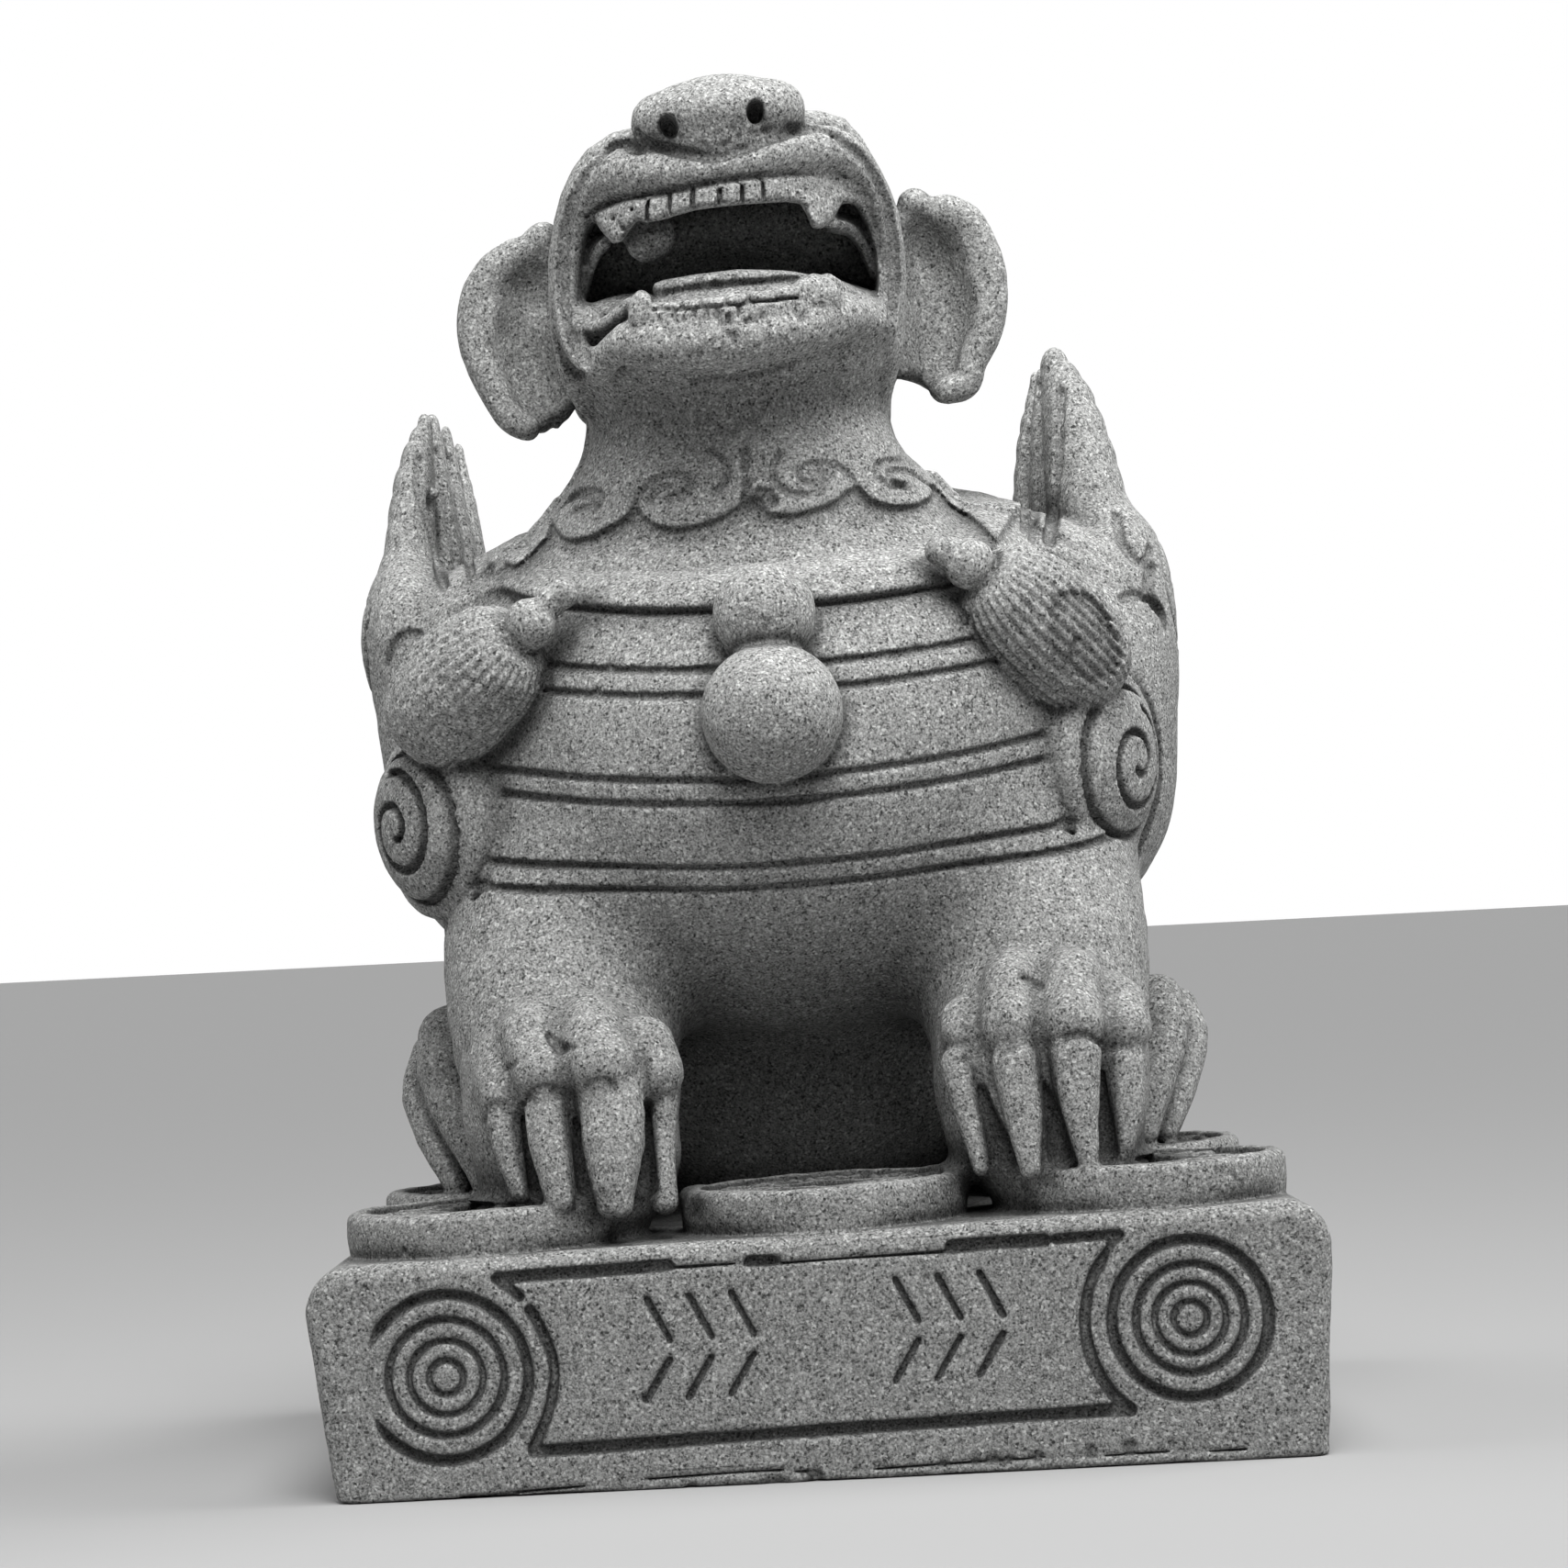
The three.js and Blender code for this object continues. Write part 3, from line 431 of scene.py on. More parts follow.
def build_torso(clay):
    clay.add((barrel, *BARREL_BOX))
    build_bands(clay, [-26, -7, 4], [26, 26, 52])
    # the neckline's groove and rim, and the cut above it
    clay.score(barrel_level(NECKLINE - 1.3, *BARREL_BOX), 0.46, 0.34)
    rim = (lambda x, y, z: np.abs(along_barrel(x, y, z) - NECKLINE) - 1.0), *BARREL_BOX
    clay.raise_(rim, 0.55, 0.5)
    clay.cut(((lambda x, y, z: NECKLINE + 1.25 - along_barrel(x, y, z)), *BARREL_BOX), 1.0)


NECK_MIDDLE = (-1.2, -4.6)  # x and y
# Heights of the neck, each with half the width and half the depth there
NECK = spline(
    [
        (32, 19.2, 16.0), (38, 19.2, 16.0), (41.5, 18.0, 15.2), (44.4, 15.6, 13.3), (47, 13.2, 11.9),
        (50, 10.9, 10.5), (53.5, 10.2, 10.0), (57, 10.2, 9.9), (62, 10.5, 10.0),
    ],
    60,
).T


def neck(x, y, z):
    height, wide, deep = NECK
    slope = np.interp(z, height, np.gradient(wide, height))
    wide = np.interp(z, height, wide).astype(np.float32)
    deep = np.interp(z, height, deep).astype(np.float32)
    u, v = (x - NECK_MIDDLE[0]) / wide, (y - NECK_MIDDLE[1]) / deep
    k0 = np.sqrt(u * u + v * v)
    k1 = np.sqrt((u / wide) ** 2 + (v / deep) ** 2)
    skin = k0 * (k0 - 1) / np.maximum(k1, 1e-4) / np.sqrt(1 + slope**2)
    return np.maximum(skin, np.abs(z - 47) - 15)


def waves(x, y, z):
    """The collar's plain hem, behind."""
    angle = np.arctan2(y - NECK_MIDDLE[1], x - NECK_MIDDLE[0])
    hem = 43.2 + 0.9 * np.abs(np.sin(4 * angle))
    return np.maximum(hem - z, np.maximum(-7.6 - y, z - 64))


# The collar's lower edge, as it shows in the photograph, from the left end to the right end
COLLAR_EDGE = [
    (540, 622), (549, 613), (560, 617), (570, 611), (584, 598), (596, 585), (602, 568),
    (607, 578), (614, 587), (626, 589), (644, 585), (663, 575), (680, 565), (693, 549),
    (699, 562), (712, 572), (738, 577), (762, 572), (789, 562), (806, 550), (815, 540),
    (824, 545), (838, 560), (862, 561), (885, 556), (912, 545), (933, 528),
    (948, 545), (976, 553), (1000, 550), (1014, 542), (1020, 530),
    (1036, 549), (1056, 562), (1070, 574), (1085, 590),
]
COLLAR_TOP = [(1105, 560), (1105, 400), (1000, 380), (620, 380), (540, 560)]
COLLAR_CURLS = [
    [(691, 548), (700, 532), (715, 521), (735, 516), (748, 519), (753, 529), (745, 537), (728, 542)],
    [(708, 545), (712, 537), (722, 531), (732, 529)],
    [(600, 566), (612, 551), (625, 542), (641, 541), (645, 549), (636, 553), (624, 557)],
    [(618, 546), (632, 537), (648, 535), (655, 540), (653, 549), (645, 558)],
    [(775, 489), (787, 499), (792, 510), (790, 522), (779, 538)],
    [(849, 492), (842, 508), (843, 522), (852, 533), (866, 538), (885, 538), (898, 532)],
    [(931, 524), (922, 514), (910, 507), (894, 505), (880, 506), (871, 513), (873, 522), (886, 527),
     (899, 521)],
    [(883, 516), (893, 513), (904, 516)],
    [(1019, 533), (1004, 520), (990, 513), (973, 512), (969, 518), (976, 525), (990, 529)],
    [(1000, 505), (984, 502), (966, 503), (956, 508), (957, 518), (967, 526), (984, 531)],
]
COLLAR_RISE = 0.42


def build_neck(clay):
    clay.add((neck, np.array([-21.5, -22, 32]), np.array([19.2, 13, 62])))
    clay.add(ball([-1.2, -10.2, 47], [10.6, 7.6, 8.6]), 2.5)
    clay.raise_(prism(COLLAR_EDGE + COLLAR_TOP, -24, -7), COLLAR_RISE, 0.3)
    clay.raise_((waves, [-22, -7.6, 41], [20, 14, 64]), COLLAR_RISE, 0.3)
    for line in COLLAR_CURLS:
        clay.trace(line, 0.28)
    clay.trace([(811, 491), (812, 500), (811, 510)], 0.34)
    clay.trace([(813, 525), (814, 534), (812, 543)], 0.36)
    for pixel in ((829, 537), (832, 545), (838, 538), (841, 546), (824, 548)):
        clay.pit(pixel, 0.45, 0.1)


def build_rump(clay):
    clay.add(ball([0, 8.4, 14], [18.5, 15.6, 20.5]), 3.0)
    for side in SIDES:
        clay.add(ball([side * 16.4, 10.5, 12.6], [9, 13, 13.8]), 3.0)


# Pixels of each forepaw: its middle, and the wrist above it
PAWS = {-1: ((641, 1256), (630, 1168)), 1: ((1139, 1222), (1137, 1128))}


def build_legs(clay):
    for side in SIDES:

        def lump(point, radii, blend):
            clay.add(ball(point * np.array([side, 1, 1]), radii), blend)

        def leg(rows, blend):
            clay.add(limb(rows * np.array([side, 1, 1, 1]), 8), blend)

        lump([20.2, -1.2, 33], [8.2, 9, 10.8], 3.5)
        lump([20.0, -2.0, 26], [7.6, 8, 9.4], 2.0)
        leg([[15, -7.6, 24, 8.6], [15.9, -13.6, 14, 8.1], [15.9, -18.2, 6.4, 6.9]], 4.5)
        lump([15.7, -19.4, 4.6], [6.4, 6.0, 5.4], 2.5)
        (px, py), wrist = PAWS[side]
        clay.add(ball(aim(px, py, -20.6), [6.0, 6.0, 4.2]), 1.2)
        clay.add(ball(aim(*wrist, -21.0), [6.6, 4.6, 4.6]), 2.0)
        clay.add(ball(aim(px + 4 * side, py, -20.2), [5.6, 6.0, 7.0]), 1.0)
        leg([[19, 14, 3, 4.8], [21.6, 7, 4.6, 4.6], [23.6, 1, 4.8, 4.2]], 2.5)
    # the bands again, where the shoulders and the legs' tops have run over them
    build_bands(clay, [-22.5, -30, 12], [22, -8, 45])


# The balls on the chest, the tassels, and the round plates on the upper legs


def build_balls(clay):
    clay.add(ball(aim(833, 669, -24.9), 3.38), 0.5)
    clay.add(ball(aim(841, 776, -26.6), 4.64), 0.35)


# Knots as rows of pixel x, pixel y, depth and radius, and the two ends of each tassel
TASSELS = [
    dict(
        knots=[(614, 646, -20.8, 1.05), (601, 655, -20.6, 1.1), (578, 680, -20.6, 1.8)],
        start=(568, 690, -20.0),
        end=(446, 808, -14.6),
        fade=0.25,
    ),
    dict(
        knots=[(1024, 599, -20.8, 1.05), (1034, 603, -20.8, 1.1), (1056, 614, -20.6, 1.7)],
        start=(1070, 620, -20.0),
        end=(1208, 752, -14.6),
        fade=1.0,
    ),
]
# Half widths along a tassel, from the knot to the open end
TASSEL_WIDTH = np.array(
    [
        (0, 1.7), (0.05, 3.0), (0.14, 3.9), (0.3, 4.45), (0.5, 4.6), (0.7, 4.4), (0.85, 3.8),
        (0.95, 2.7), (1, 1.4),
    ]
).T
TASSEL_SHARE = 0.96  # of those half widths
RIBS = 32
RIB_DEPTH = 0.34
WORN = [
    (1146, 648), (1170, 643), (1190, 650), (1206, 672), (1218, 700), (1221, 722), (1210, 737), (1190, 743),
    (1168, 737), (1146, 720), (1143, 698), (1141, 670),
]


def tassel_form(a, b, fade):
    """A tassel from a to b. Its ribs are worn away at the open end where fade is small."""
    length = np.linalg.norm(b - a)
    axis = (b - a) / length
    side = np.cross(axis, [0, 1, 0])
    side /= np.linalg.norm(side)

    def shape(s, u, v):
        t = np.clip(s / length, 0, 1)
        at = TASSEL_SHARE * np.interp(t, *TASSEL_WIDTH).astype(np.float32)
        r = np.sqrt(u * u + v * v)
        over = np.maximum(-s, s - length)
        body = np.maximum(r - at, over)
        body = np.where((r > at) & (over > 0), np.hypot(r - at, over), body)
        groove = 1 - np.abs(np.sin(np.arctan2(v, u) * RIBS / 2 + 0.5 * np.sin(4 * t)))
        kept = np.clip(1.15 - 1.5 * t, 0, 1) + np.clip(1.6 * np.abs(u) / at - 0.9, 0, 1)
        kept = np.clip(np.maximum(kept, fade), 0, 1)
        return body * 0.9 + RIB_DEPTH * groove * kept * np.clip(at / 3, 0.4, 1)

    axes = axis, side, np.cross(side, axis)
    return on_axes(a, axes, np.minimum(a, b) - 5.6, np.maximum(a, b) + 5.6, shape)


def build_tassels(clay):
    for tassel in TASSELS:
        clay.add(tassel_form(aim(*tassel["start"]), aim(*tassel["end"]), tassel["fade"]), 0.25)
        for *place, radius in tassel["knots"]:
            clay.add(ball(aim(*place), radius), 0.2)
    clay.sink(prism(WORN, -24, -8), 0.28, 0.3)
    # pits in the worn hollow of the right tassel, then in the whole left one
    rng = np.random.default_rng(9)
    for count, across, down, radii in (
        (14, (1146, 1216), (650, 736), (0.16, 0.24)),
        (22, (445, 560), (730, 822), (0.15, 0.26)),
    ):
        for _ in range(count):
            clay.pit((rng.uniform(*across), rng.uniform(*down)), rng.uniform(*radii, 3), 0.2)


# Each plate's middle as pixel x, pixel y and depth, how far it is turned, and how far it stands out
PLATES = {-1: ((471, 899, -12.5), 33, 3.2), 1: ((1206, 829, -13.2), 32, 2.6)}
PLATE = 6.5  # radius
PLATE_TIP = math.radians(4)
FACE = 0.75  # how far the face lies above the middle
MOAT_STEPS = 32
THIN_AT, THIN_OVER = 237, 22  # where the moat round a plate fades out, in degrees


def plate_axes(side, turn):
    """A plate's directions: out of its face, and along and up it."""
    out = [math.cos(turn) * math.cos(PLATE_TIP), -math.sin(turn) * math.cos(PLATE_TIP), -math.sin(PLATE_TIP)]
    along = [math.sin(turn), math.cos(turn), 0]
    return np.array([out, along, np.cross(out, along)]) * [side, 1, 1]


def coil(radii, turns, start, spin):
    """The surface that stands on a spiral line of a plate's face."""

    def shape(h, u, v):
        r = np.hypot(u, v)
        angle = np.mod(spin * (np.arctan2(v, u) - start), 2 * math.pi)
        best = np.full(r.shape, 9.0, np.float32)
        for k in range(int(turns) + 1):
            t = np.minimum((angle + 2 * math.pi * k) / (2 * math.pi * turns), 1.02)
            at = radii[0] + (radii[1] - radii[0]) * t
            best = np.minimum(best, np.abs(r - at) + np.where(t > 1.01, 9, 0))
        return best + 9.0 * (h < -0.3)

    return shape


def build_plates(clay):
    for side, (place, turn, proud) in PLATES.items():
        m = aim(*place)
        axes = plate_axes(side, math.radians(turn))
        ring = []
        for k in range(MOAT_STEPS + 1):
            angle = 2 * math.pi * k / MOAT_STEPS
            thin = 0.35 * math.exp(-(((math.degrees(angle) - THIN_AT) / THIN_OVER) ** 2))
            edge = (PLATE + 0.75) * (axes[1] * math.cos(angle) + axes[2] * math.sin(angle))
            ring.append([*(m + edge), 0.5 - thin])
        clay.cut(limb(ring), 0.5)

        def on_plate(reach, shape):
            return on_axes(m, axes, m - reach, m + reach, shape)

        def drum(h, u, v):
            return np.maximum(corner(np.hypot(u, v) - PLATE, h - FACE, 0.7), -3.2 - h)

        def tube(h, u, v):
            return np.hypot(u, v) - (PLATE - 1.35) + 9.0 * (h < -0.6)

        clay.add(on_plate(PLATE + 1, drum), 0.1)
        clay.add(ball(m, [proud, PLATE - 0.7, PLATE - 0.7], axes.T), 0.3)
        clay.score(on_plate(PLATE - 0.35, tube), 0.45, 0.5)
        clay.score(on_plate(5.2, coil((4.0, 0.5), 1.6, 1.2, -side)), 0.55, 0.75)


# Wings, tail and mane. A wing has a root and four feathers, the rearmost first. Feathers are rows of
# pixel x, pixel y and half width, with a share that makes them thin across the body.
FEATHER_DEPTHS = [
    (14.6, 15.4, 16.0, 16.4), (10.6, 11.4, 12.0, 12.4), (6.6, 7.4, 8.0, 8.6), (1.6, 2.0, 2.6, 3.4, 4.2),
]
ROOT_DEPTH = 1.6
WINGS = {
    -1: [
        ((453, 702), [3.8, 8, 6.6]),
        ([(519, 690, 3.0), (514, 620, 2.7), (508, 560, 2.1), (500, 496, 0.9)], 0.42),
        ([(506, 690, 3.2), (502, 620, 2.8), (494, 550, 2.2), (486, 478, 1.0)], 0.42),
        ([(484, 700, 3.4), (484, 620, 3.0), (477, 550, 2.4), (471, 466, 1.0)], 0.5),
        ([(452, 700, 4.0), (449, 650, 4.0), (448, 590, 3.4), (453, 520, 2.4), (463, 467, 1.1)], 0.52),
    ],
    1: [
        ((1220, 668), [3.9, 8, 8.0]),
        ([(1112, 640, 3.0), (1115, 590, 2.7), (1117, 540, 2.0), (1119, 470, 0.9)], 0.42),
        ([(1124, 640, 3.2), (1121, 580, 2.9), (1121, 500, 2.3), (1128, 420, 1.0)], 0.42),
        ([(1150, 640, 3.4), (1142, 580, 3.1), (1136, 500, 2.4), (1134, 416, 1.0)], 0.42),
        ([(1196, 640, 4.6), (1190, 590, 4.6), (1180, 530, 4.2), (1166, 460, 3.2), (1149, 402, 1.6)], 0.66),
    ],
}
WING_GROOVES = [
    ([(458, 500), (455, 530), (462, 556), (474, 605), (484, 640)], 0.4),
    ([(476, 492), (484, 545), (498, 615)], 0.36),
    ([(491, 500), (505, 570), (513, 626)], 0.34),
    ([(1154, 426), (1152, 480), (1149, 540), (1143, 590)], 0.5),
    ([(1131, 420), (1130, 480), (1128, 545), (1124, 590)], 0.34),
    ([(1119, 470), (1117, 530), (1115, 580)], 0.3),
    ([(1216, 560), (1220, 584), (1230, 602), (1242, 613), (1251, 609), (1254, 597)], 0.4),
    ([(1256, 618), (1252, 640), (1258, 656), (1266, 666)], 0.6),
    ([(1222, 652), (1238, 647), (1250, 654), (1262, 668), (1272, 684)], 0.34),
    ([(421, 722), (428, 704), (440, 692), (455, 690)], 0.36),
    ([(402, 668), (398, 690), (398, 715), (403, 745)], 0.3),
]


def build_wings(clay):
    for side, (root, *feathers) in WINGS.items():
        for (rows, share), depths in zip(feathers, FEATHER_DEPTHS):
            rows = [(px, py, y, wide) for (px, py, wide), y in zip(rows, depths)]
            clay.add(limb(aimed(rows), 10, share), 0.7)
        pixel, radii = root
        middle = aim(*pixel, ROOT_DEPTH)
        clay.add(ball(middle, radii), 1.2)
        # a curled scroll on the root's outer face
        middle = middle + [side * 3.2, -0.5, 0.5]
        scroll = coil((5.2, 0.8), 1.5, 0.6, side)
        clay.score(on_axes(middle, np.diag([side, 1.0, 1.0]), middle - 6.4, middle + 6.4, scroll), 0.6, 0.6)
    for line, radius in WING_GROOVES:
        clay.trace(line, radius)
    clay.pit((1123, 567), [0.45, 0.9, 0.8], 0.2)
    clay.cut(ball(clay.spot(470, 549) + [0, -0.2, 0], [0.5, 0.7, 0.9]), 0.2)
    clay.add(ball(clay.spot(470, 539), [0.62, 0.5, 0.36], turned(roll=-20)), 0.1)


TAIL = np.array(
    [
        (2, 22, 4, 3.6), (-7, 24.2, 6, 4.5), (-15.6, 22.2, 9.5, 4.5), (-22, 17.4, 16, 3.7),
        (-23.8, 13, 23, 1.5),
    ]
)
LOCK_POINTS = 24
CRESTS = [
    ([-1.6, 6.4, 57], [5.4, 4.6, 7.4]),
    ([-1.2, 10.4, 49], [6, 4.6, 7]),
    ([-0.8, 15.4, 41.4], [6.4, 4.6, 6.6]),
]


def build_back(clay):
    clay.add(limb(TAIL, 16), 1.0)
    # locks along the tail, which end before its thin tip
    path = spline(TAIL[:, :3], LOCK_POINTS)
    for lift, push in ((2.2, 3.2), (-1.0, 3.8), (4.2, 1.4)):
        line = path + np.array([0, push, lift]) * np.linspace(1, 0.35, LOCK_POINTS)[:, None]
        clay.cut(limb(np.column_stack([line, np.linspace(0.75, 0.3, LOCK_POINTS)])[:17]), 0.4)
    for middle, radii in CRESTS:
        clay.add(ball(middle, radii, turned(tilt=32)), 0.8)
        for across in (-3.4, -1.2, 1.2, 3.4):
            round_off = math.sqrt(1 - (across / radii[0]) ** 2)
            line = []
            for t in np.linspace(-0.9, 0.9, 7):
                rise = radii[2] * math.sin(t * 1.2)
                y = middle[1] + radii[1] * 1.02 * math.cos(t * 1.2) * round_off - 0.21 * rise
                line.append([middle[0] + across * (1 - 0.25 * t * t), y, middle[2] + rise, 0.34])
            clay.cut(limb(line), 0.3)


# Paws. Each toe has rows of pixel x, pixel y, depth and radius: two for the knuckle, then the claw's.
TOES = [
    # left paw, from the outer toe inwards
    [(543, 1178, -23.2, 1.4), (546, 1194, -24.0, 1.3), (547, 1208, -24.0, 1.2),
     (552, 1240, -24.8, 1.1), (561, 1275, -25.6, 0.85), (567, 1300, -26.0, 0.7)],
    [(584, 1146, -24.8, 1.8), (590, 1168, -26.0, 1.85), (594, 1196, -25.6, 1.55),
     (599, 1240, -26.6, 1.5), (606, 1275, -27.4, 1.25), (610, 1306, -27.9, 1.0)],
    [(646, 1136, -25.2, 2.1), (654, 1160, -26.4, 2.3), (664, 1192, -25.9, 2.3),
     (667, 1235, -26.9, 2.25), (668, 1275, -27.8, 1.75), (670, 1310, -28.2, 1.25)],
    [(702, 1140, -23.8, 2.0), (714, 1168, -24.6, 1.9), (718, 1196, -24.2, 1.35),
     (717, 1240, -25.0, 1.2), (720, 1280, -25.7, 1.0), (724, 1309, -26.0, 0.9)],
    # right paw, from the inner toe outwards
    [(1045, 1110, -22.6, 1.2), (1045, 1124, -23.4, 1.15), (1045, 1160, -23.9, 1.2),
     (1053, 1205, -24.7, 1.0), (1063, 1245, -25.5, 0.78), (1069, 1272, -25.9, 0.6)],
    [(1100, 1080, -23.8, 1.7), (1101, 1118, -25.4, 1.85), (1107, 1158, -26.0, 1.6),
     (1114, 1205, -26.8, 1.4), (1119, 1247, -27.6, 0.98), (1123, 1274, -28.0, 0.7)],
    [(1165, 1078, -23.8, 1.8), (1169, 1112, -25.6, 2.1), (1171, 1150, -26.2, 1.75),
     (1174, 1200, -27.0, 1.4), (1182, 1245, -27.8, 0.88), (1187, 1272, -28.1, 0.62)],
    [(1220, 1092, -22.2, 1.7), (1226, 1118, -23.8, 1.8), (1223, 1158, -24.3, 1.55),
     (1225, 1200, -25.0, 1.2), (1225, 1240, -25.6, 0.78), (1223, 1270, -25.9, 0.55)],
]
HIND_TOES = [
    [(474, 1150, 0.6, 1.7), (460, 1180, -0.8, 1.4), (458, 1196, -1.6, 1.3),
     (469, 1230, -2.8, 1.25), (485, 1262, -4.0, 1.15), (498, 1290, -4.8, 1.0)],
    [(493, 1132, -1.6, 2.5), (490, 1166, -3.0, 2.3), (493, 1190, -3.6, 2.0),
     (507, 1222, -4.8, 1.85), (523, 1255, -5.8, 1.65), (537, 1290, -6.6, 1.4)],
    [(1282, 1100, 0.4, 1.6), (1293, 1124, -0.8, 1.5), (1293, 1140, -1.6, 1.45),
     (1288, 1170, -2.8, 1.3), (1279, 1202, -4.0, 1.15), (1270, 1232, -4.8, 0.95)],
    [(1260, 1088, -1.6, 1.8), (1268, 1114, -3.0, 1.75), (1267, 1134, -3.6, 1.65),
     (1261, 1164, -4.6, 1.5), (1252, 1198, -5.6, 1.35), (1245, 1232, -6.4, 1.15)],
]
KNUCKLES = [
    (577, 1124, -23.4, 1.8), (645, 1116, -23.6, 1.8), (1104, 1062, -22.8, 1.5), (1170, 1062, -23.0, 1.6),
]
CLAW_GAPS = [
    ([(568, 1216), (578, 1252), (588, 1294)], -26.2),
    ([(624, 1216), (632, 1252), (640, 1294)], -27.2),
    ([(704, 1205), (702, 1240), (704, 1292)], -26.2),
    ([(1070, 1190), (1082, 1225), (1096, 1260)], -26.2),
    ([(1138, 1180), (1148, 1215), (1156, 1260)], -27.2),
    ([(1200, 1170), (1204, 1210), (1206, 1256)], -26.4),
]
# Creases, and the cuticles above the claws
PAW_GROOVES = [
    ([(529, 1222), (531, 1208), (543, 1202), (552, 1206)], 0.2),
    ([(568, 1206), (574, 1196), (582, 1188), (594, 1184), (606, 1186)], 0.24),
    ([(638, 1184), (648, 1177), (660, 1176), (670, 1184)], 0.24),
    ([(600, 1128), (606, 1138), (612, 1144)], 0.34),
    ([(612, 1143), (630, 1139), (648, 1133)], 0.2),
    ([(549, 1168), (558, 1161), (572, 1150)], 0.2),
    ([(700, 1150), (704, 1170), (704, 1190)], 0.16),
    ([(1038, 1156), (1046, 1151), (1056, 1155)], 0.2),
    ([(1088, 1150), (1098, 1144), (1110, 1141)], 0.22),
    ([(1158, 1132), (1168, 1128), (1182, 1127), (1191, 1131), (1199, 1138)], 0.24),
    ([(1203, 1145), (1213, 1142), (1230, 1141), (1241, 1148)], 0.2),
    ([(1074, 1104), (1092, 1097), (1116, 1100)], 0.16),
    ([(1144, 1098), (1160, 1090), (1190, 1092)], 0.16),
    ([(1111, 1063), (1120, 1067), (1134, 1075)], 0.24),
    ([(1041, 1121), (1048, 1119), (1056, 1118)], 0.16),
    ([(1070, 1012), (1080, 1028), (1093, 1048)], 0.12),
]


def build_toes(clay):
    for toes, blend in ((TOES, 1.0), (HIND_TOES, 0.6)):
        for rows in toes:
            clay.add(limb(aimed(rows[:2]), 6), blend)
            clay.add(limb(aimed(rows[2:]), 6), 0.35)
    for *place, radius in KNUCKLES:
        clay.add(ball(aim(*place), radius), 1.2)
    # gaps between the claws, widest at the bottom
    for line, depth in CLAW_GAPS:
        rows = aimed((px, py, depth, 0.3 + 0.25 * i) for i, (px, py) in enumerate(line))
        for back in (0, 0.8, 1.6):
            clay.cut(limb(rows + np.array([0, back, 0, 0]), 6), 0.3)
    for line, radius in PAW_GROOVES:
        clay.trace(line, radius)


# The head. Depths follow the arc of the lips: furthest forward in the middle, back at the cheeks.
HEAD = np.array([-1.4, -6, 60])  # its middle
MIDDLE_PX = 782
PX_PER_MM = 16.4
LIP_DEPTH, LIP_ARC = -25.0, 0.07


def lip(px, py, push=0.0):
    """The point on the arc of the lips that shows at a pixel, pushed back a little."""
    x = (px - MIDDLE_PX) / PX_PER_MM
    return aim(px, py, LIP_DEPTH + LIP_ARC * x * x + push)


def lip_base(push):
    middle = lip(MIDDLE_PX, 290)[0]
    return lambda x, z: LIP_DEPTH + LIP_ARC * (x - middle) ** 2 + push + 0 * z


def add_roll(clay, rows, count, blend):
    """A roll along the lips, through rows of pixel x, pixel y, radius and push."""
    clay.add(limb([[*lip(px, py, push), r] for px, py, r, push in rows], count), blend)


UPPER_LIP = [
    (650, 402, 0.8, 1.0), (628, 380, 0.9, 0.6), (617, 345, 1.0, 0.4), (615, 300, 1.1, 0.2),
    (621, 255, 1.3, 0.2), (634, 222, 1.6, 0.4), (660, 196, 1.8, 1.0), (695, 189, 1.75, 1.2),
    (735, 188, 1.4, 0.9), (777, 184, 1.0, 0.6), (820, 174, 1.35, 0.9), (868, 163, 1.6, 1.2),
    (910, 167, 1.7, 1.2), (944, 190, 1.6, 0.6), (963, 228, 1.4, 0.2), (972, 275, 1.1, 0.2),
    (972, 318, 1.0, 0.4), (962, 352, 0.9, 0.8),
]
CHEEKS = [
    [
        (634, 436, 1.0, 7.4), (618, 395, 1.6, 4.0), (611, 340, 1.75, 2.6), (612, 285, 1.8, 2.4),
        (620, 235, 1.8, 2.6), (640, 190, 1.8, 3.4), (672, 160, 1.8, 4.4), (710, 145, 1.8, 5.0),
    ],
    [
        (858, 138, 1.7, 5.0), (893, 138, 1.7, 4.6), (920, 150, 1.8, 4.0), (944, 180, 1.8, 3.0),
        (961, 225, 1.8, 2.4), (971, 285, 1.8, 2.4), (972, 340, 1.75, 2.8), (966, 390, 1.6, 4.0),
        (956, 432, 1.0, 7.4),
    ],
]
LOWER_LIP = [
    (650, 398, 0.9, 1.0), (676, 378, 1.2, 0.8), (700, 374, 1.7, 1.1), (760, 373, 1.9, 1.2),
    (830, 364, 1.9, 1.2), (895, 349, 1.8, 1.1), (928, 344, 1.3, 0.8), (958, 354, 0.9, 1.0),
]
# Outlines in pixels of the photograph
MOUTH = [
    (635, 347), (626, 331), (624, 305), (626, 280), (632, 252), (641, 236), (650, 228), (666, 222),
    (684, 216), (706, 213), (729, 209), (757, 203), (784, 197), (808, 193), (833, 190), (860, 188),
    (885, 187), (905, 190), (922, 197), (938, 215), (953, 240), (963, 270), (966, 302), (965, 328),
    (958, 336), (946, 328), (920, 320), (901, 310), (880, 312), (815, 324), (765, 330), (713, 334),
    (697, 328), (684, 335), (668, 348), (648, 354),
]
UPPER_TEETH = [
    (644, 236), (650, 229), (666, 223), (684, 217), (706, 214), (729, 210), (757, 204), (784, 198),
    (808, 194), (833, 191), (860, 189), (885, 188), (905, 191), (922, 200), (924, 210), (914, 228),
    (905, 242), (894, 250), (884, 248), (880, 236), (872, 222), (857, 220), (833, 221), (808, 223),
    (784, 225), (756, 229), (736, 235), (722, 239), (706, 243), (694, 240), (684, 252), (677, 262),
    (668, 264), (662, 258), (654, 250),
]
